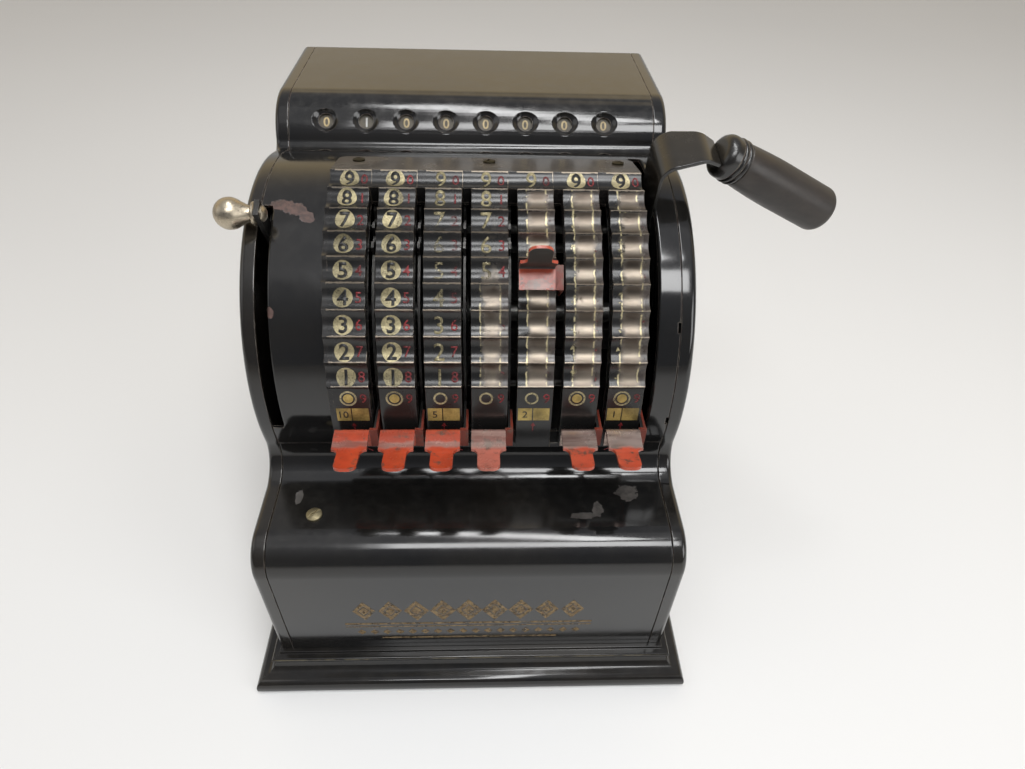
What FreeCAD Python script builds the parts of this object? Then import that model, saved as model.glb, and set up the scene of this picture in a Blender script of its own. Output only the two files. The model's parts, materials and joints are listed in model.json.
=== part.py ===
import FreeCAD, Part
import math
import os
from FreeCAD import Placement, Rotation, Vector

# A desk adding machine with seven finger levers, eight number wheels, a pull handle and a clear lever.
# Frame: +X to the operator's right, +Y to the back, +Z up, origin under the middle of the base.
# Levers, sectors, handle and clear lever all turn on the main axis. A front angle is measured about
# that axis from straight forward (0) over the top (90) to straight back (180).

SIZES = {
    # Case
    "case_back": 120.0,
    "case_front": 128.0,
    "back_corner": 4.0,
    "sheet": 1.5,
    "side_sheet": 2.0,
    "rim_band": 6.5,
    "rim_round": 1.6,
    "seam": 0.15,
    "axis_z": 127.5,
    "arc_radius": 79.0,
    "nose_radius": 25.0,
    "nose_rise": 8.848,
    "nose_angle": 128.762,
    "nose_fillet": 5.0,
    "ledge_drop": 33.0,
    "ledge_fillet": 13.0,
    "front_round": 15.5,
    # Base moulding
    "base_height": 18.0,
    "base_wall": 20.0,
    "base_edge": 4.4,
    "lip_round": 3.2,
    "cove_start": 8.4,
    "cove_height": 5.6,
    "cove_inset": 9.4,
    "cove_belly_in": 7.3,
    "cove_belly_up": 2.0,
    "bead_round": 1.4,
    "overhang": 11.5,
    "front_overhang": 13.5,
    "plate_gauge": 3.0,
    "plate_gap": 0.1,
    # Keyboard
    "columns": 7,
    "key_pitch": 19.05,
    "slot_width": 3.9,
    "key_margin_left": 37.0,
    "key_margin_right": 21.55,
    "slot_foot": -6.0,
    "handle_slot_top": 101.0,
    "handle_slot_room": 0.7,
    "clear_slot_inset": 11.4,
    "clear_slot_foot": -4.0,
    "clear_slot_top": 70.0,
    "rows": 9,
    "top_ridge_angle": 79.0,
    "ridge_rise": 8.3,
    "hollow_depth": 2.6,
    "zero_field_rise": 6.6,
    "plate_foot_angle": -10.0,
    "step_angle": 1.0,
    "toe_angle": 2.0,
    "flange_angle": 95.0,
    "flange_rise": 2.0,
    "plate_seat": 0.2,
    "plate_left_border": 2.0,
    "screw_angle": 89.5,
    "screw_radius": 2.7,
    "screw_head": 1.6,
    "ledge_screw_radius": 3.0,
    "ledge_screw_inset": 25.0,
    "ledge_screw_y": -105.5,
    # Register
    "wheels": 8,
    "wheel_radius": 16.0,
    "wheel_width": 9.0,
    "window_shift": 1.525,
    "window_radius": 3.6,
    "dish_radius": 5.3,
    "dish_depth": 1.3,
    "window_angle": 42.4,
    "wheel_gap": 1.0,
    # Gear train
    "gear_teeth": 10,
    "gear_ratio": 5.12,
    "tooth_play": 0.9,
    "tooth_rise": 1.7,
    "tooth_depth": 2.4,
    "gear_gauge": 2.4,
    "lever_gauge": 1.0,
    "lever_gap": 0.5,
    "clear_gauge": 2.0,
    "clear_inset": 8.4,
    "hub_radius": 15.0,
    "stem_width": 7.0,
    "spoke_angle": 7.0,
    "stem_rise": 12.0,
    "rim_depth": 9.5,
    "sector_end": 155.0,
    "tooth_first": 51.0,
    "tooth_last": 131.0,
    "set_angle": 45.0,
    "set_column": 5,
    "clear_angle": 63.0,
    # Finger pieces
    "tab_gauge": 1.3,
    "flange_gauge": 1.0,
    "tab_clear": 10.2,
    "tab_foot": -4.8,
    "tab_head": 5.4,
    "tab_root": 10.4,
    "tab_tongue": 12.6,
    "tongue_width": 9.2,
    "tongue_round": 3.2,
    "shelf_width": 14.4,
    "tab_side": 12.0,
    "tab_rise": 1.8,
    "tab_bow": 0.4,
    # Shafts and frames
    "shaft_radius": 5.0,
    "register_shaft_radius": 4.0,
    "rod_radius": 3.0,
    "running": 0.05,
    "end_play": 0.15,
    "frame_gauge": 2.5,
    "frame_inset_left": 14.0,
    "frame_inset_right": 15.0,
    "frame_margin": 12.0,
    "tie_front": -45.0,
    "tie_back": 55.0,
    "tie_height": 27.5,
    "tie_rear": 86.0,
    "tie_rear_drop": 14.0,
    "shaft_end": 2.0,
    "comb_top": 8.0,
    "comb_depth": 13.0,
    "comb_width": 10.0,
    "running_gap": 0.3,
    "lever_eye": 12.0,
    # Handle
    "handle_angle": 79.5,
    "strap_gauge": 1.8,
    "strap_clear": 0.35,
    "strap_width": 25.0,
    "strap_end_width": 17.0,
    "strap_tail": 8.0,
    "strap_rise": 19.0,
    "strap_bend": 9.0,
    "elbow_out": 2.5,
    "elbow_rise": 21.8,
    "elbow_bend": 8.0,
    "strap_end_out": 8.9,
    "grip_drop": 28.3,
    "ferrule_length": 11.0,
    "ferrule_radius": 9.3,
    "ferrule_round": 4.0,
    "ferrule_bead": 2.0,
    "ferrule_groove": 1.0,
    "grip_length": 52.0,
    "grip_radius": 10.2,
    "grip_neck": 9.2,
    "grip_taper": 23.0,
    "grip_round": 4.1,
    "crank_gauge": 1.4,
    "bail_radius": 45.0,
    "bail_angle": 140.0,
    "bail_rod": 2.5,
    "bail_eye": 6.5,
    "bail_margin": 5.0,
    # Clear knob
    "knob_rise": 7.5,
    "knob_ball": 6.5,
    "knob_centre": 10.6,
    "knob_neck": 3.0,
    "knob_collar": 4.8,
    "collar_run": 1.6,
    "knob_throat": 4.2,
    "knob_flat": 1.3,
    "rivet_radius": 3.2,
    "rivet_crown": 1.9,
    "rivet_head": 2.2,
    "rivet_shank": 1.6,
    # Carry rocker
    "carry_back": 25.8,
    "carry_drop": 17.883,
    "pawl_gauge": 1.4,
    "pawl_gap": 1.0,
    "pawl_eye": 5.5,
    "pawl_tip": 1.6,
}

doc = FreeCAD.newDocument("adding_machine")
sheet = doc.addObject("Spreadsheet::Sheet", "Sizes")
for row, (alias, value) in enumerate(SIZES.items(), start=1):
    sheet.set("A%d" % row, alias)
    sheet.set("B%d" % row, str(value))
    sheet.setAlias("B%d" % row, alias)
doc.recompute()


def size(name):
    """The value of a cell by its alias, or of an expression on the sheet's cells."""
    return float(sheet.evalExpression(name if "Sizes." in name else "Sizes." + name))


# Sizes that follow from the cells, as expressions
KEY_WIDTH = "(Sizes.key_pitch - Sizes.slot_width)"
KEY_SPAN = "(Sizes.columns * Sizes.key_pitch - Sizes.slot_width)"
CASE_WIDTH = "(Sizes.key_margin_left + %s + Sizes.key_margin_right)" % KEY_SPAN
CASE_LEFT = "(-%s / 2)" % CASE_WIDTH
CASE_RIGHT = "(%s / 2)" % CASE_WIDTH
KEY_LEFT = "(%s + Sizes.key_margin_left)" % CASE_LEFT
BASE_WIDTH = "(%s + 2 * Sizes.overhang)" % CASE_WIDTH
BASE_DEPTH = "(Sizes.case_back + Sizes.case_front + Sizes.overhang + Sizes.front_overhang)"
AXIS_Y = "(%s / 2 - Sizes.overhang - Sizes.case_back)" % BASE_DEPTH
AXIS_Z = "Sizes.axis_z"
RIDGE_RADIUS = "(Sizes.arc_radius + Sizes.ridge_rise)"
ZERO_RADIUS = "(Sizes.arc_radius + Sizes.zero_field_rise)"
FRAME_LEFT = "(%s + Sizes.frame_inset_left)" % CASE_LEFT
FRAME_RIGHT = "(%s - Sizes.frame_inset_right)" % CASE_RIGHT
FRAME_SPAN = "(%s - %s + Sizes.frame_gauge)" % (FRAME_RIGHT, FRAME_LEFT)
CLEAR_LEFT = "(%s + Sizes.clear_inset)" % CASE_LEFT
TAB_WIDTH = "(%s + Sizes.lever_gap + Sizes.lever_gauge + Sizes.flange_gauge)" % KEY_WIDTH
STRAP_LEFT = "(%s + %s - %s + %s + Sizes.strap_clear)" % (KEY_LEFT, KEY_SPAN, KEY_WIDTH, TAB_WIDTH)
STRAP_RIGHT = "(%s + Sizes.strap_gauge)" % STRAP_LEFT
STRAP_HEIGHT = "(Sizes.arc_radius + Sizes.strap_rise)"
ELBOW_X = "(%s + Sizes.elbow_out)" % CASE_RIGHT
ELBOW_RADIUS = "(Sizes.arc_radius + Sizes.elbow_rise)"
STRAP_END_X = "(%s + Sizes.strap_end_out)" % CASE_RIGHT
BAIL_LEFT = "(%s - Sizes.bail_margin)" % KEY_LEFT
STEM_REACH = "(Sizes.arc_radius + Sizes.stem_rise)"
KNOB_REACH = "(Sizes.arc_radius + Sizes.knob_rise)"
TAB_INNER = "(Sizes.arc_radius + Sizes.tab_clear)"

# One tooth of a sector for each digit
ROW_ANGLE = 360.0 / (size("gear_teeth") * size("gear_ratio"))
SLOT_TOP = size("top_ridge_angle") - ROW_ANGLE

NODES = []


def node(obj, label):
    """Name a finished piece, so that it is checked and written."""
    obj.Label = label
    NODES.append(obj)
    return obj


def place(obj, x="0", y="0", z="0", rotation=None):
    """Put an object at a point given by expressions on the sheet."""
    if rotation is not None:
        obj.Placement = Placement(Vector(), rotation)
    for axis, expression in (("x", x), ("y", y), ("z", z)):
        obj.setExpression("Placement.Base." + axis, expression)
    return obj


def on_axis(obj, x, rotation=None):
    """Put an object on the main axis at a distance along it."""
    return place(obj, x, AXIS_Y, AXIS_Z, rotation)


def beside_axis(point):
    """Expressions for a point given by its distances behind and above the main axis."""
    return (AXIS_Y + " + %.9f" % point[0], AXIS_Z + " + %.9f" % point[1])


def raised(degrees):
    """A turn about the main axis that lifts the front of a piece."""
    return Rotation(Vector(1, 0, 0), -degrees)


# Outline helpers: a segment is a pair of ends, or three points where it is an arc

def polar(radius, front_angle):
    turn = math.radians(front_angle)
    return (-radius * math.cos(turn), radius * math.sin(turn))


def arc_about(centre, start, end):
    """An arc about a centre, through the side nearer to both ends."""
    radius = math.hypot(start[0] - centre[0], start[1] - centre[1])
    out = (start[0] + end[0] - 2 * centre[0], start[1] + end[1] - 2 * centre[1])
    reach = radius / math.hypot(*out)
    return (start, (centre[0] + out[0] * reach, centre[1] + out[1] * reach), end)


def sweep_arc(radius, first, last):
    """An arc about the main axis between two front angles."""
    return (polar(radius, first), polar(radius, (first + last) / 2), polar(radius, last))


def chain(points):
    return [(a, b) for a, b in zip(points, points[1:])]


def closed(points):
    return chain(points + points[:1])


def reverse(segments):
    return [tuple(reversed(segment)) for segment in reversed(segments)]


def curve(segment):
    points = [Vector(p[0], p[1], 0) for p in segment]
    if len(points) == 2:
        return Part.LineSegment(*points)
    return Part.Arc(*points)


def circle(radius, centre=(0, 0)):
    return Part.Circle(Vector(centre[0], centre[1], 0), Vector(0, 0, 1), radius)


def ring_sector(inner, outer, first, last):
    return [
        sweep_arc(outer, first, last),
        (polar(outer, last), polar(inner, last)),
        sweep_arc(inner, last, first),
        (polar(inner, first), polar(outer, first)),
    ]


def link_outline(end, hub, eye):
    """A lever plate: a hub about the origin and an eye about an end, joined by tangents."""
    reach = math.hypot(*end)
    along = math.atan2(end[1], end[0])
    lean = math.acos((hub - eye) / reach)
    corners = []
    for side in (1, -1):
        turn = along + side * lean
        ray = (math.cos(turn), math.sin(turn))
        corners.append(((ray[0] * hub, ray[1] * hub), (end[0] + ray[0] * eye, end[1] + ray[1] * eye)))
    (hub_a, eye_a), (hub_b, eye_b) = corners
    tip = (end[0] + math.cos(along) * eye, end[1] + math.sin(along) * eye)
    heel = (-math.cos(along) * hub, -math.sin(along) * hub)
    return [(hub_a, eye_a), (eye_a, tip, eye_b), (eye_b, hub_b), (hub_b, heel, hub_a)]


# Feature helpers

def body(name):
    return doc.addObject("PartDesign::Body", name)


def sketch(part, plane, segments, circles=(), offset=0.0, axis=None):
    """A sketch on one of the body's own planes, shifted along the plane's normal."""
    made = part.newObject("Sketcher::SketchObject", part.Name + "_sketch")
    support = [f for f in part.Origin.OriginFeatures if f.Role == plane][0]
    made.AttachmentSupport = (support, [""])
    made.MapMode = "FlatFace"
    made.AttachmentOffset = Placement(Vector(0, 0, offset), Rotation())
    made.addGeometry([curve(segment) for segment in segments], False)
    for ring in circles:
        made.addGeometry(ring, False)
    if axis is not None:
        made.addGeometry(curve(axis), True)
    return made


def pad(part, profile, length, both_ways=False):
    feature = part.newObject("PartDesign::Pad", part.Name + "_pad")
    feature.Profile = profile
    feature.setExpression("Length", length)
    if both_ways:
        feature.SideType = "Symmetric"
    return feature


def cut(part, profile, length, both_ways=False):
    """A pocket along the sketch's own normal."""
    before = volume(part)
    feature = part.newObject("PartDesign::Pocket", part.Name + "_pocket")
    feature.Profile = profile
    feature.Reversed = True
    feature.setExpression("Length", length)
    if both_ways:
        feature.SideType = "Symmetric"
    check_cut(part, before)
    return feature


def keep_faces(part):
    """Leave faces of one surface parted where the outline parts them."""
    for feature in part.Group:
        if hasattr(feature, "Refine"):
            feature.Refine = False


def volume(part):
    doc.recompute()
    return part.Shape.Volume


def check_cut(part, before):
    if not volume(part) < before:
        raise RuntimeError("a cut took nothing from " + part.Name)


def turned(part, segments, plane="XY_Plane", axis="H_Axis"):
    """A revolved solid about the sketch's horizontal axis."""
    profile = sketch(part, plane, segments)
    feature = part.newObject("PartDesign::Revolution", part.Name + "_turned")
    feature.Profile = profile
    feature.ReferenceAxis = (profile, [axis])
    feature.Angle = 360
    return feature


def repeat(part, feature, count, length):
    """Copies of a feature along X."""
    before = volume(part)
    pattern = part.newObject("PartDesign::LinearPattern", part.Name + "_pattern")
    pattern.Originals = [feature]
    along = [f for f in part.Origin.OriginFeatures if f.Role == "X_Axis"][0]
    pattern.Direction = (along, [""])
    pattern.setExpression("Length", length)
    pattern.Occurrences = count
    part.Tip = pattern
    check_cut(part, before)
    return pattern


def rod(name, radius, length, x, y, z):
    """A round bar along X from a starting point."""
    bar = doc.addObject("Part::Cylinder", name)
    bar.setExpression("Radius", radius)
    bar.setExpression("Height", length)
    return place(bar, x, y, z, Rotation(Vector(0, 1, 0), 90))


def group(label, pieces):
    """Like pieces kept in one node as separate solids."""
    made = doc.addObject("Part::Compound", label)
    made.Links = pieces
    return node(made, label)


# Case outline, seen from the left end: stations from the back foot over the top to the front foot

def circles_touch(first, first_radius, second, second_radius):
    """The front one of the two points at given distances from two centres."""
    gap = (second[0] - first[0], second[1] - first[1])
    span = math.hypot(*gap)
    along = (span ** 2 + first_radius ** 2 - second_radius ** 2) / (2 * span)
    aside = math.sqrt(first_radius ** 2 - along ** 2)
    unit = (gap[0] / span, gap[1] / span)
    return (first[0] + unit[0] * along - unit[1] * aside, first[1] + unit[1] * along + unit[0] * aside)


AXIS = (0.0, 0.0)
NOSE = polar(size("arc_radius") + size("nose_rise"), size("nose_angle"))
CASE_TOP = NOSE[1] + size("nose_radius")
NOSE_FILLET = circles_touch(
    AXIS, size("arc_radius") + size("nose_fillet"), NOSE, size("nose_radius") + size("nose_fillet"))
LEDGE_FILLET_Z = size("ledge_fillet") - size("ledge_drop")
LEDGE_FILLET = (
    -math.sqrt((size("arc_radius") + size("ledge_fillet")) ** 2 - LEDGE_FILLET_Z ** 2), LEDGE_FILLET_Z)
FRONT_ROUND = (
    size("front_round") - size("case_front"), -size("ledge_drop") - size("front_round"))
BACK_CORNER = (
    size("case_back") - size("back_corner"), CASE_TOP - size("back_corner"))
CASE_FOOT = size("base_height") - size("axis_z")


def toward(centre, radius, target):
    """The point of a circle on the way to another centre."""
    gap = (target[0] - centre[0], target[1] - centre[1])
    reach = radius / math.hypot(*gap)
    return (centre[0] + gap[0] * reach, centre[1] + gap[1] * reach)


def case_stations(inset):
    """The corners of the outline, moved inward by an inset."""
    arc = size("arc_radius") - inset
    nose = size("nose_radius") - inset
    front = size("front_round") - inset
    corner = size("back_corner") - inset
    return [
        (size("case_back") - inset, CASE_FOOT),
        (size("case_back") - inset, BACK_CORNER[1]),
        (BACK_CORNER[0], BACK_CORNER[1] + corner),
        (NOSE[0], NOSE[1] + nose),
        toward(NOSE, nose, NOSE_FILLET),
        toward(AXIS, arc, NOSE_FILLET),
        toward(AXIS, arc, LEDGE_FILLET),
        (LEDGE_FILLET[0], -size("ledge_drop") - inset),
        (FRONT_ROUND[0], -size("ledge_drop") - inset),
        (FRONT_ROUND[0] - front, FRONT_ROUND[1]),
        (FRONT_ROUND[0] - front, CASE_FOOT),
    ]


# Stations by name, and the centre of the arc that follows each one
BACK_FOOT, BACK_TOP, ROOF_BACK, ROOF_FRONT, NOSE_FOOT, ARC_TOP, ARC_FOOT = range(7)
LEDGE_BACK, LEDGE_FRONT, FRONT_TOP, FRONT_FOOT = range(7, 11)
ARC_CENTRES = {
    BACK_TOP: BACK_CORNER,
    ROOF_FRONT: NOSE,
    NOSE_FOOT: NOSE_FILLET,
    ARC_TOP: AXIS,
    ARC_FOOT: LEDGE_FILLET,
    LEDGE_FRONT: FRONT_ROUND,
}


def case_run(first, last, inset):
    """The outline's segments between two stations."""
    stations = case_stations(inset)
    segments = []
    for index in range(first, last):
        start, end = stations[index], stations[index + 1]
        if index in ARC_CENTRES:
            segments.append(arc_about(ARC_CENTRES[index], start, end))
        else:
            segments.append((start, end))
    return segments


def sheet_section(first, last):
    """A closed section of bent sheet that follows the outline between two stations."""
    outer = case_run(first, last, 0)
    inner = reverse(case_run(first, last, size("sheet")))
    return outer + [(outer[-1][-1], inner[0][0])] + inner + [(inner[-1][-1], outer[0][0])]


COVER_LEFT = "(%s + Sizes.rim_band + Sizes.seam)" % CASE_LEFT
COVER_WIDTH = "(%s - 2 * Sizes.rim_band - 2 * Sizes.seam)" % CASE_WIDTH


def cover(name, section):
    """A cover of bent sheet between the two side panels."""
    part = body(name)
    pad(part, sketch(part, "YZ_Plane", section), COVER_WIDTH)
    return on_axis(part, COVER_LEFT)


def from_cover_left(x):
    """A place along X as an offset inside a cover's body."""
    return x - size(COVER_LEFT)


# Base, mitred moulding and bottom plate

def moulding_half(width):
    """The moulding's outline on one side of a section, from its foot to its top."""
    edge = width / 2
    lip_top = size("base_edge") + size("lip_round")
    cove_top = size("cove_start") + size("cove_height")
    lip = (edge - size("lip_round"), size("base_edge"))
    cove_foot = (edge - size("lip_round"), size("cove_start"))
    cove_head = (edge - size("cove_inset"), cove_top)
    cove_belly = (edge - size("cove_belly_in"), size("cove_start") + size("cove_belly_up"))
    bead_foot = (cove_head[0], cove_top)
    bead_head = (cove_head[0], cove_top + 2 * size("bead_round"))
    bead_belly = (cove_head[0] + size("bead_round"), cove_top + size("bead_round"))
    return [
        ((edge, 0), (edge, size("base_edge"))),
        arc_about(lip, (edge, size("base_edge")), (lip[0], lip_top)),
        ((lip[0], lip_top), cove_foot),
        (cove_foot, cove_belly, cove_head),
        (bead_foot, bead_belly, bead_head),
        (bead_head, (edge - size("overhang"), bead_head[1])),
        ((edge - size("overhang"), bead_head[1]), (edge - size("overhang"), size("base_height"))),
    ]


def moulding_section(width):
    right = moulding_half(width)
    left = [tuple((-p[0], p[1]) for p in segment) for segment in reverse(right)]
    top = (right[-1][-1], left[0][0])
    return right + [top] + left + [(left[-1][-1], right[0][0])]


def build_base():
    long_way = body("moulding_long")
    pad(long_way, sketch(long_way, "YZ_Plane", moulding_section(size(BASE_DEPTH))),
        BASE_WIDTH, True)
    cross_way = body("moulding_cross")
    pad(cross_way, sketch(cross_way, "XZ_Plane", moulding_section(size(BASE_WIDTH))),
        BASE_DEPTH, True)
    mitred = doc.addObject("Part::Common", "mitred_moulding")
    mitred.Base = long_way
    mitred.Tool = cross_way
    well = doc.addObject("Part::Box", "base_well")
    well.setExpression("Length", BASE_WIDTH + " - 2 * Sizes.base_wall")
    well.setExpression("Width", BASE_DEPTH + " - 2 * Sizes.base_wall")
    well.setExpression("Height", "Sizes.base_height")
    place(well, "Sizes.base_wall - %s / 2" % BASE_WIDTH, "Sizes.base_wall - %s / 2" % BASE_DEPTH)
    frame = doc.addObject("Part::Cut", "base_frame")
    frame.Base = mitred
    frame.Tool = well
    node(frame, "base_frame")
    bottom = doc.addObject("Part::Box", "bottom_plate")
    inset = "(Sizes.base_wall + Sizes.plate_gap)"
    bottom.setExpression("Length", "%s - 2 * %s" % (BASE_WIDTH, inset))
    bottom.setExpression("Width", "%s - 2 * %s" % (BASE_DEPTH, inset))
    bottom.setExpression("Height", "Sizes.plate_gauge")
    place(bottom, "%s - %s / 2" % (inset, BASE_WIDTH), "%s - %s / 2" % (inset, BASE_DEPTH))
    node(bottom, "bottom_plate")


# Case panels

def side_panel(label, x, outer_at, pocket_from):
    """An end panel with a turned-in rim that follows the case outline."""
    part = body(label)
    outline = case_run(BACK_FOOT, FRONT_FOOT, 0)
    outline.append((outline[-1][-1], outline[0][0]))
    pad(part, sketch(part, "YZ_Plane", outline), "Sizes.rim_band")
    hollow = case_run(BACK_FOOT, FRONT_FOOT, size("side_sheet"))
    hollow.append((hollow[-1][-1], hollow[0][0]))
    shell = cut(part, sketch(part, "YZ_Plane", hollow, offset=pocket_from),
                "Sizes.rim_band - Sizes.side_sheet")
    rolled = []
    for number, edge in enumerate(shell.Shape.Edges, start=1):
        ends = [vertex.Point for vertex in edge.Vertexes]
        outside = all(abs(p.x - outer_at) < 1e-6 for p in ends)
        on_foot = all(abs(p.z - CASE_FOOT) < 1e-6 for p in ends)
        if outside and not on_foot:
            rolled.append("Edge%d" % number)
    bevel = part.newObject("PartDesign::Chamfer", part.Name + "_rim")
    bevel.Base = (shell, rolled)
    bevel.setExpression("Size", "Sizes.rim_round")
    on_axis(part, x)
    return node(part, label)


def build_side_panels():
    side_panel("side_panel_left", CASE_LEFT, 0, size("side_sheet"))
    side_panel("side_panel_right", CASE_RIGHT + " - Sizes.rim_band", size("rim_band"), 0)


def key_right_of(column):
    """The right edge of a key column, as an expression."""
    return "(%s + %s + (%s - 1) * Sizes.key_pitch)" % (KEY_LEFT, KEY_WIDTH, column)


def key_right(column):
    return size(key_right_of(column))


LAST_RIGHT = key_right_of("Sizes.columns")


def arc_section():
    """The round front's section, with its arc parted at the ends of the lever slots."""
    stations = case_stations(0)
    first, last = [math.degrees(math.atan2(p[1], -p[0])) for p in (stations[ARC_TOP], stations[ARC_FOOT])]
    angles = [first, SLOT_TOP, size("slot_foot"), last]
    outer = [sweep_arc(size("arc_radius"), a, b) for a, b in zip(angles, angles[1:])]
    inner = [sweep_arc(size("arc_radius") - size("sheet"), b, a) for a, b in zip(angles, angles[1:])]
    inner.reverse()
    return outer + [(outer[-1][-1], inner[0][0])] + inner + [(inner[-1][-1], outer[0][0])]


def build_covers():
    node(cover("rear_panel", sheet_section(BACK_FOOT, BACK_TOP)), "rear_panel")
    node(cover("lower_front_panel", sheet_section(ARC_FOOT, FRONT_FOOT)), "lower_front_panel")
    arc_panel = cover("arc_panel", arc_section())
    beyond = size(RIDGE_RADIUS)
    within = size("arc_radius") - size("front_round")
    slot = ring_sector(within, beyond, size("slot_foot"), SLOT_TOP)
    first_slot = cut(arc_panel, sketch(arc_panel, "YZ_Plane", slot, offset=from_cover_left(key_right(1))),
                     "Sizes.slot_width")
    repeat(arc_panel, first_slot, int(size("columns")) - 1, "(Sizes.columns - 2) * Sizes.key_pitch")
    handle_slot = ring_sector(within, beyond, size("slot_foot"), size("handle_slot_top"))
    cut(arc_panel, sketch(arc_panel, "YZ_Plane", handle_slot, offset=from_cover_left(size(LAST_RIGHT))),
        "%s + Sizes.handle_slot_room - %s" % (STRAP_RIGHT, LAST_RIGHT))
    clear_slot = ring_sector(within, beyond, size("clear_slot_foot"), size("clear_slot_top"))
    cut(arc_panel, sketch(arc_panel, "YZ_Plane", clear_slot),
        "Sizes.clear_slot_inset - Sizes.rim_band - Sizes.seam")
    keep_faces(arc_panel)
    node(arc_panel, "arc_panel")


# Window line: the number wheels stand behind the nose of the hood, on the sight line of the windows

SIGHT = (-math.cos(math.radians(size("window_angle"))), math.sin(math.radians(size("window_angle"))))
WHEEL_OFFSET = size("nose_radius") - size("sheet") - size("wheel_gap") - size("wheel_radius")
REGISTER = (NOSE[0] + SIGHT[0] * WHEEL_OFFSET, NOSE[1] + SIGHT[1] * WHEEL_OFFSET)
REGISTER_ANGLE = math.degrees(math.atan2(REGISTER[1], -REGISTER[0]))
CENTRES = math.hypot(*REGISTER)
GEAR_PITCH = CENTRES / (1 + size("gear_ratio"))
SECTOR_PITCH = CENTRES - GEAR_PITCH
CARRY = (REGISTER[0] + size("carry_back"), REGISTER[1] - size("carry_drop"))
MODULE = 2 * GEAR_PITCH / size("gear_teeth")
PRESSURE_ANGLE = 20


def window_x(number):
    """The middle of a window, counted from the left."""
    return size(window_x_of(number))


def window_x_of(number):
    """The middle of a window, as an expression."""
    return "%s + %s / 2 + %d * Sizes.key_pitch - Sizes.window_shift" % (KEY_LEFT, KEY_WIDTH, number - 2)


def build_hood():
    hood = cover("register_hood", sheet_section(BACK_TOP, ARC_TOP))
    across = (-SIGHT[1], SIGHT[0])

    def at(out, aside):
        return (NOSE[0] + SIGHT[0] * out + across[0] * aside, NOSE[1] + SIGHT[1] * out + across[1] * aside)

    surface = size("nose_radius")
    shoulder = surface - size("dish_depth")
    beyond = surface + size("sheet")
    inside = surface - 2 * size("sheet")
    dish = [
        at(beyond, 0), at(beyond, size("dish_radius")), at(surface, size("dish_radius")),
        at(shoulder, size("window_radius")), at(inside, size("window_radius")), at(inside, 0),
    ]
    before = volume(hood)
    profile = sketch(hood, "YZ_Plane", closed(dish), offset=from_cover_left(window_x(1)),
                     axis=(at(inside, 0), at(beyond, 0)))
    groove = hood.newObject("PartDesign::Groove", "window_groove")
    groove.Profile = profile
    groove.ReferenceAxis = (profile, ["Axis0"])
    groove.Angle = 360
    check_cut(hood, before)
    repeat(hood, groove, int(size("wheels")), "(Sizes.wheels - 1) * Sizes.key_pitch")
    node(hood, "register_hood")


def build_keyboard():
    """The scalloped key plate: one finger hollow for each digit, with slots between the columns."""
    part = body("keyboard_plate")
    inner = size("arc_radius") + size("plate_seat")
    rim = size("arc_radius") + size("flange_rise")
    ridges = [polar(size(RIDGE_RADIUS), size("top_ridge_angle") - row * ROW_ANGLE)
              for row in range(int(size("rows")) + 1)]
    outline = [sweep_arc(inner, size("plate_foot_angle"), size("flange_angle"))]
    flange = polar(rim, size("flange_angle"))
    outline.append((polar(inner, size("flange_angle")), flange))
    outline.append((flange, ridges[0]))
    for row in range(int(size("rows"))):
        middle = size("top_ridge_angle") - (row + 0.5) * ROW_ANGLE
        hollow = polar(size(RIDGE_RADIUS) - size("hollow_depth"), middle)
        outline.append((ridges[row], hollow, ridges[row + 1]))
    last_angle = size("top_ridge_angle") - size("rows") * ROW_ANGLE
    step_angle = last_angle - size("step_angle")
    foot_angle = size("plate_foot_angle") + size("toe_angle")
    step = polar(size(ZERO_RADIUS), step_angle)
    foot = polar(size(ZERO_RADIUS), foot_angle)
    toe = polar(rim, size("plate_foot_angle"))
    outline.append((ridges[-1], step))
    outline.append(sweep_arc(size(ZERO_RADIUS), step_angle, foot_angle))
    outline += [(foot, toe), (toe, polar(inner, size("plate_foot_angle")))]
    border = size("plate_left_border")
    pad(part, sketch(part, "YZ_Plane", outline), "Sizes.plate_left_border + " + KEY_SPAN)
    slot = ring_sector(inner - size("sheet"), size(RIDGE_RADIUS) + 2, size("slot_foot"), SLOT_TOP)
    first = cut(part, sketch(part, "YZ_Plane", slot, offset=border + size(KEY_WIDTH)),
                "Sizes.slot_width")
    repeat(part, first, int(size("columns")) - 1, "(Sizes.columns - 2) * Sizes.key_pitch")
    on_axis(part, KEY_LEFT + " - Sizes.plate_left_border")
    node(part, "keyboard_plate")


def build_screws():
    """Three heads along the key plate's top flange, and one in the ledge of the lower panel."""
    ridge = polar(size(RIDGE_RADIUS), size("top_ridge_angle"))
    edge = polar(size("arc_radius") + size("flange_rise"), size("flange_angle"))
    share = (size("screw_angle") - size("top_ridge_angle")) / (size("flange_angle") - size("top_ridge_angle"))
    seat = (ridge[0] + (edge[0] - ridge[0]) * share, ridge[1] + (edge[1] - ridge[1]) * share)
    slope = math.degrees(math.atan2(edge[1] - ridge[1], edge[0] - ridge[0]))
    heads = []
    for number, column in enumerate((1, 4, 7)):
        head = doc.addObject("Part::Cylinder", "keyboard_screw_%d" % (number + 1))
        head.setExpression("Radius", "Sizes.screw_radius")
        head.setExpression("Height", "Sizes.screw_head")
        place(head, "%s - %s / 2" % (key_right_of(column), KEY_WIDTH),
              *beside_axis(seat), Rotation(Vector(1, 0, 0), slope))
        heads.append(head)
    group("keyboard_screws", heads)
    ledge = doc.addObject("Part::Cylinder", "ledge_screw")
    ledge.setExpression("Radius", "Sizes.ledge_screw_radius")
    ledge.setExpression("Height", "Sizes.screw_head")
    place(ledge, CASE_LEFT + " + Sizes.ledge_screw_inset", AXIS_Y + " + Sizes.ledge_screw_y",
          AXIS_Z + " - Sizes.ledge_drop")
    node(ledge, "ledge_screw")


# Toothed wheels

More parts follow.
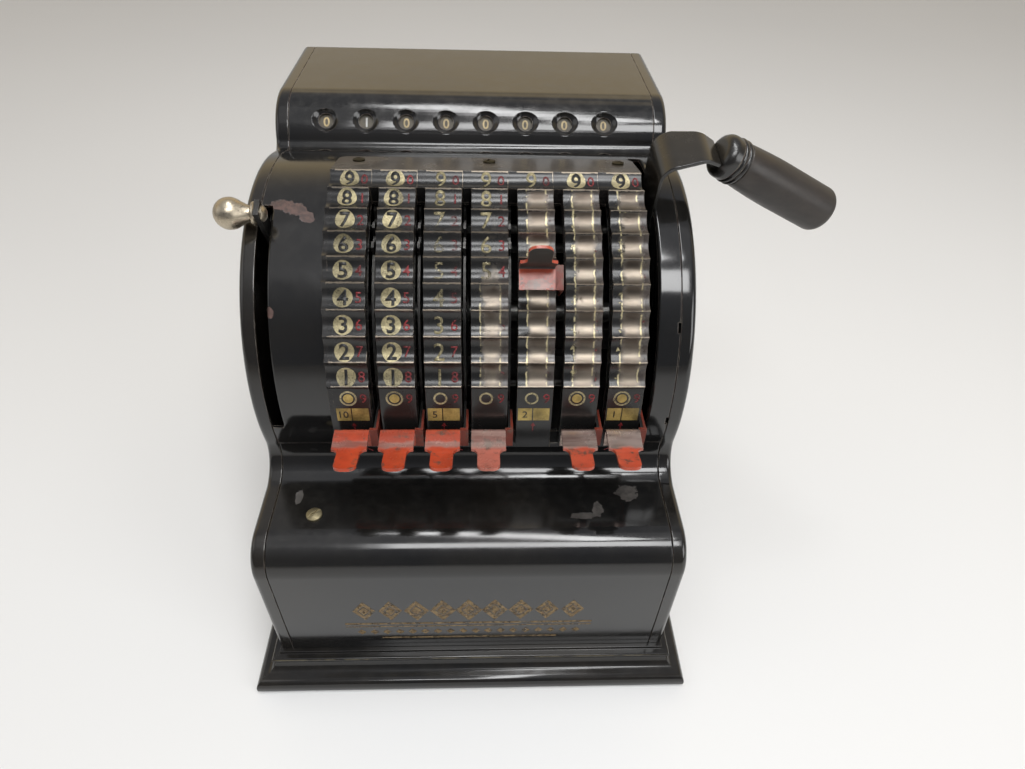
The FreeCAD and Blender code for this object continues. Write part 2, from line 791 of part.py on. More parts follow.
def tooth_corners(pitch):
    """Radii and half widths, as angles, of a straight-sided tooth at its root and tip."""
    half = math.pi * MODULE / 4 - size("tooth_play") / 4
    slope = math.tan(math.radians(PRESSURE_ANGLE))
    root, tip = pitch - size("tooth_depth"), pitch + size("tooth_rise")
    root_half = (half + size("tooth_depth") * slope) / root
    tip_half = (half - size("tooth_rise") * slope) / tip
    return root, math.degrees(root_half), tip, math.degrees(tip_half)


def gear_outline():
    """A small gear with a tooth towards the main axis."""
    count = int(size("gear_teeth"))
    root, root_half, tip, tip_half = tooth_corners(GEAR_PITCH)
    points = []
    for tooth in range(count):
        middle = REGISTER_ANGLE + 180 + tooth * 360.0 / count
        points += [polar(root, middle - root_half), polar(tip, middle - tip_half),
                   polar(tip, middle + tip_half), polar(root, middle + root_half)]
    return closed(points)


def sector_outline(reach):
    """A stamped lever: hub, stem, back spoke and toothed rim round an open window."""
    step = 360.0 / (size("gear_teeth") * size("gear_ratio"))
    root, root_half, tip, tip_half = tooth_corners(SECTOR_PITCH)
    half = size("stem_width") / 2
    stem_rim = math.degrees(math.asin(half / root))
    hub = size("hub_radius")
    stem_hub = math.degrees(math.asin(half / hub))
    first = math.ceil((size("tooth_first") - REGISTER_ANGLE) / step - 0.5)
    last = math.floor((size("tooth_last") - REGISTER_ANGLE) / step - 0.5)
    middles = [REGISTER_ANGLE + (index + 0.5) * step for index in range(first, last + 1)]
    outer = chain([(-reach, -half), (-reach, half), polar(root, stem_rim)])
    outer.append(sweep_arc(root, stem_rim, middles[0] - root_half))
    teeth = []
    for middle in middles:
        teeth += [polar(root, middle - root_half), polar(tip, middle - tip_half),
                  polar(tip, middle + tip_half), polar(root, middle + root_half)]
    outer += chain(teeth)
    outer.append(sweep_arc(root, middles[-1] + root_half, size("sector_end")))
    outer.append((polar(root, size("sector_end")), polar(hub, size("sector_end"))))
    outer.append(sweep_arc(hub, size("sector_end"), 360 - stem_hub))
    outer.append((polar(hub, -stem_hub), (-reach, -half)))
    rim = root - size("rim_depth")
    stem_inner = math.degrees(math.asin(half / rim))
    window_end = size("sector_end") - size("spoke_angle")
    window = [
        (polar(hub, stem_hub), polar(rim, stem_inner)),
        sweep_arc(rim, stem_inner, window_end),
        (polar(rim, window_end), polar(hub, window_end)),
        sweep_arc(hub, window_end, stem_hub),
    ]
    return outer + window


def sector(label, x, gauge, lift, reach):
    """A toothed lever that turns on the main shaft."""
    part = body(label)
    bore = circle(size("shaft_radius") + size("running"))
    pad(part, sketch(part, "YZ_Plane", sector_outline(reach), [bore]), gauge)
    return on_axis(part, x, raised(lift))


def lever_x(column):
    return "%s + Sizes.lever_gap" % key_right_of(column)


def lift_of(column):
    return size("set_angle") if column == int(size("set_column")) else 0.0


def build_levers():
    for column in range(1, int(size("columns")) + 1):
        label = "sector_lever_%d" % column
        lever = sector(label, lever_x(column), "Sizes.lever_gauge", lift_of(column), size(TAB_INNER))
        node(lever, label)
        finger_tab(column)


def finger_tab(column):
    """A bent finger piece: side flange on the stem, face over the column, and a tongue on top."""
    label = "finger_tab_%d" % column
    part = body(label)
    gauge = size("tab_gauge")
    face = -size(TAB_INNER)
    foot, head = size("tab_foot"), size("tab_head")
    root = face - gauge - size("tab_root")
    tip = root - size("tab_tongue")
    rise, bow = size("tab_rise"), size("tab_bow")
    section = [
        ((face, foot), (face, head)),
        ((face, head), (root, head)),
        ((root, head), ((root + tip) / 2, head + bow), (tip, head + rise)),
        ((tip, head + rise), (tip, head + rise - gauge)),
        ((tip, head + rise - gauge), ((root + tip) / 2, head - gauge + bow), (root, head - gauge)),
        ((root, head - gauge), (face - gauge, head - gauge)),
        ((face - gauge, head - gauge), (face - gauge, foot)),
        ((face - gauge, foot), (face, foot)),
    ]
    pad(part, sketch(part, "YZ_Plane", section), TAB_WIDTH)
    full, shelf = size(TAB_WIDTH), size("shelf_width")
    left = (shelf - size("tongue_width")) / 2
    right = shelf - left
    shoulder = root - left
    round_in, round_out = (0, shoulder), (shelf, shoulder)
    crown = size("tongue_round")
    beyond = tip - gauge
    trim = [
        ((-gauge, root), (0, root)), arc_about(round_in, (0, root), (left, shoulder)),
        ((left, shoulder), (left, tip + crown)),
        arc_about((left + crown, tip + crown), (left, tip + crown), (left + crown, tip)),
        ((left + crown, tip), (right - crown, tip)),
        arc_about((right - crown, tip + crown), (right - crown, tip), (right, tip + crown)),
        ((right, tip + crown), (right, shoulder)), arc_about(round_out, (right, shoulder), (shelf, root)),
        ((shelf, root), (shelf, face - gauge)), ((shelf, face - gauge), (full + gauge, face - gauge)),
        ((full + gauge, face - gauge), (full + gauge, beyond)), ((full + gauge, beyond), (-gauge, beyond)),
        ((-gauge, beyond), (-gauge, root)),
    ]
    cut(part, sketch(part, "XY_Plane", trim), "4 * (Sizes.tab_head + Sizes.tab_rise)", True)
    flange = closed([(face - gauge / 2, foot), (face - gauge / 2, head - gauge),
                     (face + size("tab_side"), head - gauge), (face + size("tab_side"), foot)])
    pad(part, sketch(part, "YZ_Plane", flange, offset=full - size("flange_gauge")), "Sizes.flange_gauge")
    on_axis(part, "%s - %s" % (key_right_of(column), KEY_WIDTH), raised(lift_of(column)))
    return node(part, label)


def small_gear(label, x, lift):
    """A gear on the register shaft, turned to mesh with a sector at its lift."""
    part = body(label)
    bore = circle(size("register_shaft_radius") + size("running"))
    pad(part, sketch(part, "YZ_Plane", gear_outline(), [bore]), "Sizes.gear_gauge")
    place(part, x, *beside_axis(REGISTER), raised(-lift * size("gear_ratio")))
    return node(part, label)


def build_gears():
    centred = "%s + (Sizes.lever_gauge - Sizes.gear_gauge) / 2"
    for column in range(1, int(size("columns")) + 1):
        small_gear("drive_gear_%d" % column, centred % lever_x(column), lift_of(column))
    small_gear("clear_pinion", CLEAR_LEFT + " + (Sizes.clear_gauge - Sizes.gear_gauge) / 2",
               size("clear_angle"))


def build_wheels():
    """Ten-sided number wheels on the register shaft, one behind each window."""
    digits = 10
    turn = size("window_angle")
    corners = [polar(size("wheel_radius"), turn + (index + 0.5) * 360.0 / digits) for index in range(digits)]
    bore = circle(size("register_shaft_radius") + size("running"))
    for number in range(1, int(size("wheels")) + 1):
        part = body("number_wheel_%d" % number)
        pad(part, sketch(part, "YZ_Plane", closed(corners), [bore]), "Sizes.wheel_width", True)
        place(part, window_x_of(number), *beside_axis(REGISTER))
        node(part, "number_wheel_%d" % number)


# Frames, shafts and guide comb

TIES = (
    (size("tie_front"), size("tie_height") - size("axis_z")),
    (size("tie_back"), size("tie_height") - size("axis_z")),
    (size("tie_rear"), -size("tie_rear_drop")),
)


def frame_outline():
    """An upright plate whose corners stand a margin outside the shafts and tie rods."""
    foot = size("plate_gauge") - size("axis_z")
    margin = size("frame_margin")
    return closed([
        (size("tie_front") - margin, foot), (size("tie_back") + margin, foot),
        (size("tie_rear") + margin, -size("tie_rear_drop")),
        (CARRY[0] + margin, CARRY[1] + margin / 2),
        (REGISTER[0] + margin, REGISTER[1] + margin / 2), (REGISTER[0] - margin / 2, REGISTER[1] + margin),
        (REGISTER[0] - margin * 1.3, REGISTER[1] - margin / 2), (-margin * 1.3, margin * 1.3),
        (-margin * 2, -margin * 2), (size("tie_front") - margin, TIES[0][1] + margin),
    ])


def build_frames():
    """Two upright plates that carry every shaft."""
    outline = frame_outline()
    fit = size("running")
    holes = [circle(size("shaft_radius") + fit), circle(size("register_shaft_radius") + fit, REGISTER),
             circle(size("rod_radius") + fit, CARRY)]
    holes += [circle(size("rod_radius") + fit, tie) for tie in TIES]
    for label, x in (("frame_left", FRAME_LEFT), ("frame_right", FRAME_RIGHT)):
        part = body(label)
        pad(part, sketch(part, "YZ_Plane", outline, holes), "Sizes.frame_gauge")
        on_axis(part, x)
        node(part, label)
    rods = [rod("tie_%d" % index, "Sizes.rod_radius", FRAME_SPAN, FRAME_LEFT, *beside_axis(tie))
            for index, tie in enumerate(TIES)]
    group("tie_rods", rods)
    shaft_run = "%s + Sizes.frame_gauge - %s + Sizes.shaft_end" % (FRAME_RIGHT, CLEAR_LEFT)
    shaft_left = CLEAR_LEFT + " - Sizes.shaft_end"
    shaft = rod("main_shaft", "Sizes.shaft_radius", shaft_run, shaft_left, AXIS_Y, AXIS_Z)
    node(shaft, "main_shaft")
    register = rod("register_shaft", "Sizes.register_shaft_radius", shaft_run, shaft_left,
                   *beside_axis(REGISTER))
    node(register, "register_shaft")


def build_comb():
    """A slotted bar under the main shaft that keeps the levers in line with their slots."""
    part = body("guide_comb")
    left = size(FRAME_LEFT) + size("frame_gauge")
    top, depth, half = -size("comb_top"), size("comb_depth"), size("comb_width") / 2
    outline = closed([(-half, top), (half, top), (half, top - depth), (-half, top - depth)])
    pad(part, sketch(part, "YZ_Plane", outline), FRAME_SPAN + " - 2 * Sizes.frame_gauge")
    floor = -size("hub_radius") - size("running_gap")
    slot = closed([(-half - 1, top + 1), (half + 1, top + 1), (half + 1, floor), (-half - 1, floor)])
    first = key_right(1) + size("lever_gap") - size("end_play") - left
    slit = cut(part, sketch(part, "YZ_Plane", slot, offset=first), "Sizes.lever_gauge + 2 * Sizes.end_play")
    repeat(part, slit, int(size("columns")), "(Sizes.columns - 1) * Sizes.key_pitch")
    bail = size(BAIL_LEFT) - size("end_play") - left
    cut(part, sketch(part, "YZ_Plane", slot, offset=bail), "Sizes.strap_gauge + 2 * Sizes.end_play")
    crank = size(STRAP_LEFT) - size("end_play") - left
    cut(part, sketch(part, "YZ_Plane", slot, offset=crank),
        "Sizes.strap_gauge + Sizes.crank_gauge + 2 * Sizes.end_play")
    on_axis(part, FRAME_LEFT + " + Sizes.frame_gauge")
    node(part, "guide_comb")


# Handle and restoring bail

def strap_outline(corners, bends, gauge):
    """A bent strap seen on its edge: parallel sides with a bend at each inner corner."""
    headings = [math.atan2(b[1] - a[1], b[0] - a[0]) for a, b in zip(corners, corners[1:])]
    sides = []
    for side in (1, -1):
        def shifted(point, heading):
            out = side * gauge / 2
            return (point[0] - math.sin(heading) * out, point[1] + math.cos(heading) * out)
        start = shifted(corners[0], headings[0])
        run = []
        for index, bend in enumerate(bends):
            before, after = headings[index], headings[index + 1]
            turn = after - before
            hand = 1 if turn > 0 else -1
            back = bend * math.tan(abs(turn) / 2)
            corner = corners[index + 1]
            entry = (corner[0] - math.cos(before) * back, corner[1] - math.sin(before) * back)
            leave = (corner[0] + math.cos(after) * back, corner[1] + math.sin(after) * back)
            centre = (entry[0] - math.sin(before) * bend * hand, entry[1] + math.cos(before) * bend * hand)
            run.append((start, shifted(entry, before)))
            run.append(arc_about(centre, shifted(entry, before), shifted(leave, after)))
            start = shifted(leave, after)
        run.append((start, shifted(corners[-1], headings[-1])))
        sides.append(run)
    left, right = sides[0], reverse(sides[1])
    return left + [(left[-1][-1], right[0][0])] + right + [(right[-1][-1], left[0][0])]


HANDLE_TURN = Rotation(Vector(1, 0, 0), 90 - size("handle_angle"))
STRAP_MIDDLE = size(STRAP_LEFT) + size("strap_gauge") / 2
GRIP_HEADING = -math.radians(size("grip_drop"))
STRAP_END = (
    size(STRAP_END_X),
    size(ELBOW_RADIUS) + math.tan(GRIP_HEADING) * (size(STRAP_END_X) - size(ELBOW_X)))


def build_handle():
    strap = body("handle_arm")
    corners = [(STRAP_MIDDLE, -size("strap_tail")), (STRAP_MIDDLE, size(STRAP_HEIGHT)),
               (size(ELBOW_X), size(ELBOW_RADIUS)), STRAP_END]
    outline = strap_outline(corners, (size("strap_bend"), size("elbow_bend")), size("strap_gauge"))
    pad(strap, sketch(strap, "XZ_Plane", outline), "Sizes.strap_width", True)
    bore = sketch(strap, "YZ_Plane", [], [circle(size("shaft_radius") + size("running"))],
                  offset=size(STRAP_LEFT) - 1)
    cut(strap, bore, "Sizes.strap_gauge + 2")
    half, end_half = size("strap_width") / 2, size("strap_end_width") / 2
    near, far = STRAP_MIDDLE + size("strap_bend"), size(STRAP_END_X) + 4
    for side in (1, -1):
        taper = closed([(near, side * half), (size(STRAP_END_X), side * end_half), (far, side * end_half),
                        (far, side * (half + 1)), (near, side * (half + 1))])
        cut(strap, sketch(strap, "XY_Plane", taper), "3 * " + ELBOW_RADIUS, True)
    on_axis(strap, "0", HANDLE_TURN)
    node(strap, "handle_arm")

    out = Vector(0, *polar(1, size("handle_angle")))
    heading = Vector(1, 0, 0) * math.cos(GRIP_HEADING) + out * math.sin(GRIP_HEADING)
    root = Vector(STRAP_END[0], 0, 0) + out * STRAP_END[1]
    root += Vector(0, size(AXIS_Y), size(AXIS_Z))
    turn = Rotation(Vector(1, 0, 0), heading)
    length, radius = size("ferrule_length"), size("ferrule_radius")
    dome, bevel = size("ferrule_round"), size("ferrule_groove")
    groove = radius - bevel
    bead = length - 2 * bevel - size("ferrule_bead")
    ferrule = body("handle_ferrule")
    turned(ferrule, [
        ((0, 0), (0, radius - dome)), arc_about((dome, radius - dome), (0, radius - dome), (dome, radius)),
    ] + chain([
        (dome, radius), (bead - bevel, radius), (bead, groove), (bead + bevel, radius),
        (length - bevel, radius), (length, groove), (length, 0), (0, 0),
    ]))
    ferrule.Placement = Placement(root, turn)
    node(ferrule, "handle_ferrule")
    grip = body("handle_grip")
    neck, belly, run = size("grip_neck"), size("grip_radius"), size("grip_length")
    crown, taper = size("grip_round"), size("grip_taper")
    turned(grip, [
        ((0, 0), (0, neck)), ((0, neck), (taper, belly)), ((taper, belly), (run - crown, belly)),
        arc_about((run - crown, belly - crown), (run - crown, belly), (run, belly - crown)),
        ((run, belly - crown), (run, 0)), ((run, 0), (0, 0)),
    ])
    grip.Placement = Placement(root + heading * length, turn)
    node(grip, "handle_grip")


def crank_plate(name, gauge, x):
    """A plate that carries the bail rod round the main shaft."""
    part = body(name)
    eye = polar(size("bail_radius"), size("bail_angle"))
    outline = link_outline(eye, size("lever_eye"), size("bail_eye"))
    pad(part, sketch(part, "YZ_Plane", outline, [circle(size("shaft_radius") + size("running"))]), gauge)
    return on_axis(part, x)


def build_bail():
    node(crank_plate("handle_crank", "Sizes.crank_gauge", STRAP_RIGHT), "handle_crank")
    arm = crank_plate("bail_arm", "Sizes.strap_gauge", BAIL_LEFT)
    eye = polar(size("bail_radius"), size("bail_angle"))
    bar_run = "%s - %s" % (STRAP_RIGHT, BAIL_LEFT)
    bar = rod("bail_bar", "Sizes.bail_rod", bar_run, BAIL_LEFT, *beside_axis(eye))
    bail = doc.addObject("Part::Fuse", "restoring_bail")
    bail.Base = arm
    bail.Tool = bar
    node(bail, "restoring_bail")


# Clear lever and knob

def build_clear_lever():
    part = sector("clear_lever", CLEAR_LEFT, "Sizes.clear_gauge", size("clear_angle"), size(STEM_REACH))
    shank = circle(size("rivet_shank") + size("running"), (-size(KNOB_REACH), 0))
    cut(part, sketch(part, "YZ_Plane", [], [shank], offset=-1), "Sizes.clear_gauge + 2")
    node(part, "clear_lever")
    seat = polar(size(KNOB_REACH), size("clear_angle"))
    seat_y, seat_z = beside_axis(seat)
    knob = body("clear_knob")
    ball, centre, neck = size("knob_ball"), size("knob_centre"), size("knob_neck")
    collar, collar_run, throat = size("knob_collar"), size("collar_run"), size("knob_throat")
    waist = -centre + math.sqrt(ball ** 2 - throat ** 2)
    flat = size("knob_flat")
    nose = -centre - math.sqrt(ball ** 2 - flat ** 2)
    turned(knob, chain([
        (waist, throat), (-collar_run * 1.4, neck), (-collar_run, collar), (0, collar), (0, 0), (nose, 0),
        (nose, flat)]) + [((nose, flat), (-centre, ball), (waist, throat))])
    node(place(knob, CLEAR_LEFT, seat_y, seat_z), "clear_knob")
    rivet = body("clear_rivet")
    plate, head = size("clear_gauge"), size("rivet_head")
    rim, crown, shank = size("rivet_radius"), size("rivet_crown"), size("rivet_shank")
    turned(rivet, closed([
        (0, 0), (0, shank), (plate, shank), (plate, rim), (plate + head / 2, rim), (plate + head, crown),
        (plate + head, 0),
    ]))
    node(place(rivet, CLEAR_LEFT, seat_y, seat_z), "clear_rivet")


# Carry rocker

def build_carry_rocker():
    """A cross shaft with one carry pawl beside each number wheel but the first."""
    gap = (REGISTER[0] - CARRY[0], REGISTER[1] - CARRY[1])
    reach = math.hypot(*gap) - size("wheel_radius") - size("pawl_gap")
    share = reach / math.hypot(*gap)
    aside = (-gap[1] / math.hypot(*gap), gap[0] / math.hypot(*gap))
    tip, eye = size("pawl_tip"), size("pawl_eye")
    outline = closed([
        (gap[0] * share + aside[0] * tip, gap[1] * share + aside[1] * tip),
        (aside[0] * eye, aside[1] * eye), (-aside[0] * eye, -aside[1] * eye),
        (gap[0] * share - aside[0] * tip, gap[1] * share - aside[1] * tip),
    ])
    pieces = [rod("carry_bar", "Sizes.rod_radius", FRAME_SPAN, FRAME_LEFT, *beside_axis(CARRY))]
    for number in range(2, int(size("wheels")) + 1):
        pawl = body("carry_pawl_%d" % number)
        pad(pawl, sketch(pawl, "YZ_Plane", outline), "Sizes.pawl_gauge")
        place(pawl, window_x_of(number), *beside_axis(CARRY))
        pieces.append(pawl)
    rocker = doc.addObject("Part::MultiFuse", "carry_rocker")
    rocker.Shapes = pieces
    node(rocker, "carry_rocker")


build_base()
build_side_panels()
build_covers()
build_hood()
build_keyboard()
build_screws()
build_frames()
build_comb()
build_levers()
build_gears()
build_wheels()
build_handle()
build_bail()
build_clear_lever()
build_carry_rocker()
doc.recompute()

for obj in doc.Objects:
    if "Invalid" in obj.State or "Error" in obj.State:
        raise RuntimeError("failed object: " + obj.Label)
for obj in NODES:
    if obj.Shape.isNull() or not obj.Shape.isValid():
        raise RuntimeError("bad shape: " + obj.Label)

os.makedirs("parts", exist_ok=True)
for obj in NODES:
    obj.Shape.exportStep(os.path.join("parts", obj.Label + ".step"))
print("pieces", len(NODES))
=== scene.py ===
"""Looks of a desk adding machine: covers, key plate, finger pieces, handle, knob, wheels and stage."""
import json
import math
from contextlib import contextmanager

import bpy
from bpy.props import FloatProperty, FloatVectorProperty, IntProperty, PointerProperty
from mathutils import Matrix, Vector


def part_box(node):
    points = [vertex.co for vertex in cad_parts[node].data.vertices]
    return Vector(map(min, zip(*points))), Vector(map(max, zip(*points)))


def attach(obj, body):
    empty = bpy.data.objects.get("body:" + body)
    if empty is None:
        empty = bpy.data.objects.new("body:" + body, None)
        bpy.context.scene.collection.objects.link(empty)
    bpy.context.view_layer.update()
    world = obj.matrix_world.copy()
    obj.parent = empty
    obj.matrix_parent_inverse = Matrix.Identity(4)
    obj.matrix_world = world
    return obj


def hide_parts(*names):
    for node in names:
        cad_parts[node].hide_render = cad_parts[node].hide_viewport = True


bl_info = {
    "name": "Adding Machine",
    "version": (1, 0, 0),
    "blender": (4, 5, 0),
    "location": "View3D > Sidebar > Machine",
    "description": "Builds the finished look of a desk adding machine around its mechanism",
    "category": "Object",
}

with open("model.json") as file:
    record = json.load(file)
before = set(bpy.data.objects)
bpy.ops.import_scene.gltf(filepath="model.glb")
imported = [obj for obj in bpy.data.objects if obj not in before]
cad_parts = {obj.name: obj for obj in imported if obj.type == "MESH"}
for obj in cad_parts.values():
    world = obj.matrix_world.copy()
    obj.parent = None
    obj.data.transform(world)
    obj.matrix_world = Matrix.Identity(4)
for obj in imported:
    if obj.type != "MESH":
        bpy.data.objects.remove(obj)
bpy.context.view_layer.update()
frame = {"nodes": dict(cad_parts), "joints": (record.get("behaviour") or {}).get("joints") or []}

MM = 0.001
JOINT_AT = {joint["name"]: Vector(joint["pos_m"]) for joint in frame["joints"]}
AXIS = JOINT_AT["handle_pull"]
REGISTER = JOINT_AT["register_turn"]
CASE_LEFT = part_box("side_panel_left")[0].x
CASE_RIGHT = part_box("side_panel_right")[1].x
CASE_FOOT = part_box("side_panel_left")[0].z
PLATE_LEFT, PLATE_RIGHT = (corner.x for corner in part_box("keyboard_plate"))
ACROSS = Vector((1, 0, 0))
# Two places nearer than this, in metres, are one
HAIR = 1e-6


# Properties: sizes and colours that a user would change

def length(name, millimetres, description):
    return FloatProperty(
        name=name, description=description, default=millimetres * MM, unit="LENGTH", precision=5)


def turn(name, degrees, description):
    return FloatProperty(
        name=name, description=description, default=math.radians(degrees), subtype="ANGLE", unit="ROTATION")


def tint(name, red, green, blue, description):
    return FloatVectorProperty(
        name=name, description=description, default=(red, green, blue), size=3,
        subtype="COLOR", min=0, max=1)


class CaseSizes(bpy.types.PropertyGroup):
    """Outline of the sheet-metal case and its base."""
    arc_radius: length("Round front", 79.0, "Radius of the round front about the main axis")
    nose_back: length("Nose back", 55.0, "Distance of the hood nose's centre behind the main axis")
    nose_up: length("Nose up", 68.5, "Height of the hood nose's centre above the main axis")
    nose_radius: length("Nose radius", 25.0, "Radius of the rolled hood nose")
    nose_fillet: length("Nose fillet", 5.0, "Radius of the hollow under the nose")
    ledge_drop: length("Ledge drop", 33.0, "Distance of the ledge under the main axis")
    ledge_fillet: length("Ledge fillet", 13.0, "Radius of the cove behind the ledge")
    front_reach: length("Front reach", 128.0, "Distance of the front face before the main axis")
    front_round: length("Front round", 15.5, "Radius of the front's upper edge")
    back_reach: length("Back reach", 120.0, "Distance of the back face behind the main axis")
    back_corner: length("Back corner", 4.0, "Radius of the rear upper edge")
    sheet: length("Sheet", 1.5, "Thickness of the covers")
    side_sheet: length("Side sheet", 2.0, "Thickness of the side panels")
    rim_band: length("Rim band", 6.5, "Width of the side panels' turned rim")
    rim_round: length("Rim round", 2.6, "Rounding of the rim's outer edge")
    seam: length("Seam", 0.25, "Gap between covers and side panels")
    edge_round: length("Edge round", 0.4, "Rounding of the covers' cut edges")
    lip_round: length("Lip round", 1.4, "Rounding of the sheet's edge along the handle slot")


class BaseSizes(bpy.types.PropertyGroup):
    """Section of the base moulding."""
    foot_round: length("Foot round", 1.3, "Rounding of the lower edge")
    edge: length("Edge", 2.7, "Height of the upright foot edge")
    nose_round: length("Nose", 5.0, "Radius of the rounded nose")
    nose_turn: turn("Nose turn", 72.0, "Turn of the rounded nose")
    cove_inset: length("Cove inset", 9.3, "Distance of the cove's head behind the foot edge")
    bead_foot: length("Bead foot", 13.9, "Height of the bead's lower edge")
    bead_round: length("Bead", 1.3, "Radius of the top bead")
    overhang: length("Overhang", 11.5, "Distance of the case behind the foot edge")
    wall: length("Wall", 20.0, "Width of the moulding's timber")


class KeySizes(bpy.types.PropertyGroup):
    """Scalloped key plate and its figures."""
    columns: IntProperty(name="Columns", description="Columns of finger hollows", default=7, min=1)
    rows: IntProperty(name="Rows", description="Finger hollows in a column", default=9, min=1)
    pitch: length("Pitch", 19.05, "Distance from column to column")
    slot: length("Slot", 3.9, "Width of the lever slots")
    border: length("Border", 2.0, "Plain strip left of the first column")
    seat: length("Seat", 0.2, "Gap between the plate and the round front")
    ridge_rise: length("Ridge rise", 8.3, "Height of the ridges over the round front")
    hollow_depth: length("Hollow depth", 2.6, "Depth of a finger hollow")
    zero_rise: length("Zero rise", 6.6, "Height of the plain zero field over the round front")
    flange_rise: length("Flange rise", 2.0, "Height of the plate's edge over the round front")
    corner_round: length("Corner", 4.0, "Rounding of the top flange's corners")
    top_ridge: turn("Top ridge", 79.0, "Front angle of the uppermost ridge")
    row_turn: turn("Row", 7.03125, "Angle from ridge to ridge")
    plate_foot: turn("Foot", -10.0, "Front angle of the plate's lower edge")
    flange_end: turn("Flange", 95.0, "Front angle of the plate's upper edge")
    screw_turn: turn("Screws", 89.5, "Front angle of the flange screws")
    figure_turn: turn("Figure turn", 7.3, "Angle from figure to figure")
    slot_foot: turn("Slot foot", -6.0, "Front angle of the slots' lower end")
    handle_slot_end: turn("Handle slot", 101.0, "Front angle of the handle slot's upper end")
    clear_slot_foot: turn("Clear slot foot", -4.0, "Front angle of the clear slot's lower end")
    clear_slot_end: turn("Clear slot", 70.0, "Front angle of the clear slot's upper end")
    figure_inset: length("Figure inset", 6.2, "Distance of the figures from a column's left edge")
    figure_height: length("Figure", 6.9, "Height of the plain figures")
    disc_radius: length("Disc", 4.0, "Radius of the gilt discs")
    small_inset: length("Small inset", 12.4, "Distance of the red figures from a column's left edge")
    small_height: length("Small figure", 4.4, "Height of the red figures")
    print_lift: length("Print lift", 0.05, "Height of the print over the plate")


class RegisterSizes(bpy.types.PropertyGroup):
    """Windows and number wheels."""
    wheels: IntProperty(name="Wheels", description="Number wheels behind the hood", default=8, min=1)
    window_radius: length("Window", 3.5, "Radius of a window's throat")
    window_lip: length("Window lip", 3.1, "Width of the dish round a window")
    seat_depth: length("Seat depth", 2.2, "Depth of the metal round a window's throat")
    dish_depth: length("Dish", 1.9, "Depth of the dish round a window")
    dish_soft: FloatProperty(
        name="Dish softness", description="Softness of the dish's edges", default=0.35, min=0)
    window_turn: turn("Window", 42.4, "Elevation of the windows' sight line")
    wheel_radius: length("Wheel", 16.0, "Radius of a wheel to its corners")
    wheel_width: length("Wheel width", 9.0, "Width of a wheel")
    figure_height: length("Figure", 4.4, "Height of the wheels' figures")
    notch_radius: length("Notch", 2.9, "Radius of the notches under the windows")


class FingerSizes(bpy.types.PropertyGroup):
    """Bent finger pieces on the levers."""
    gauge: length("Gauge", 1.3, "Thickness of a finger piece")
    clear: length("Clear", 10.2, "Distance of the face from the round front")
    foot: length("Foot", -4.8, "Lower edge of the face from the main axis")
    head: length("Head", 5.4, "Top of the shelf above the main axis")
    root: length("Root", 10.4, "Depth of the wide shelf")
    tongue: length("Tongue", 12.6, "Length of the tongue")
    rise: length("Rise", 1.8, "Lift of the tongue's tip")
    dip: length("Dip", 0.8, "Fall of the shelf towards the tongue")
    bend: length("Bend", 2.2, "Radius of the bend between face and shelf")
    side_reach: length("Side", 12.0, "Depth of the side flange")
    side_gauge: length("Side gauge", 1.0, "Thickness of the side flange")
    shelf_width: length("Shelf width", 14.4, "Width of the shelf")
    tongue_width: length("Tongue width", 9.2, "Width of the tongue")
    tongue_round: length("Tongue round", 3.2, "Rounding of the tongue's corners")
    set_column: IntProperty(name="Set column", description="Column whose lever is raised", default=5, min=1)
    set_turn: turn("Set", 45.0, "Lift of the raised lever")


class HandleSizes(bpy.types.PropertyGroup):
    """Pull handle over the right rim."""
    lean: turn("Lean", 79.5, "Front angle of the strap's plane")
    gauge: length("Gauge", 1.8, "Thickness of the strap")
    width: length("Width", 25.0, "Width of the strap at the slot")
    end_width: length("End width", 17.0, "Width of the strap at the ferrule")
    tail: length("Tail", 8.0, "Length of the strap below the main axis")
    rise: length("Rise", 19.0, "Height of the first bend over the round front")
    bend: length("Bend", 9.0, "Radius of the first bend")
    elbow_out: length("Elbow out", 2.5, "Distance of the elbow outside the case")
    elbow_rise: length("Elbow rise", 21.8, "Height of the elbow over the round front")
    elbow_bend: length("Elbow bend", 8.0, "Radius of the elbow")
    end_out: length("End out", 8.9, "Distance of the strap's end outside the case")
    grip_drop: turn("Grip drop", 28.3, "Fall of the grip below level")
    ferrule_length: length("Ferrule", 11.0, "Length of the ferrule")
    ferrule_round: length("Ferrule round", 4.0, "Rounding of the ferrule's back edge")
    ferrule_radius: length("Ferrule radius", 9.3, "Radius of the ferrule's beads")
    grip_length: length("Grip", 52.0, "Length of the grip")
    grip_radius: length("Grip radius", 10.2, "Radius of the grip's belly")
    grip_neck: length("Grip neck", 9.2, "Radius of the grip at the ferrule")
    grip_round: length("Grip round", 4.1, "Rounding of the grip's end")


class KnobSizes(bpy.types.PropertyGroup):
    """Clear knob on the left."""
    reach: length("Reach", 86.5, "Distance of the knob from the main axis")
    rest: turn("Rest", 63.0, "Front angle of the clear lever")
    ball: length("Ball", 6.5, "Radius of the knob's ball")
    centre: length("Centre", 10.6, "Distance of the ball's centre from the lever")
    neck: length("Neck", 3.0, "Radius of the neck")
    collar: length("Collar", 4.8, "Radius of the collar")
    collar_run: length("Collar run", 1.6, "Length of the collar")
    rivet: length("Rivet", 3.2, "Radius of the rivet's head")
    rivet_head: length("Rivet head", 2.2, "Height of the rivet's head")


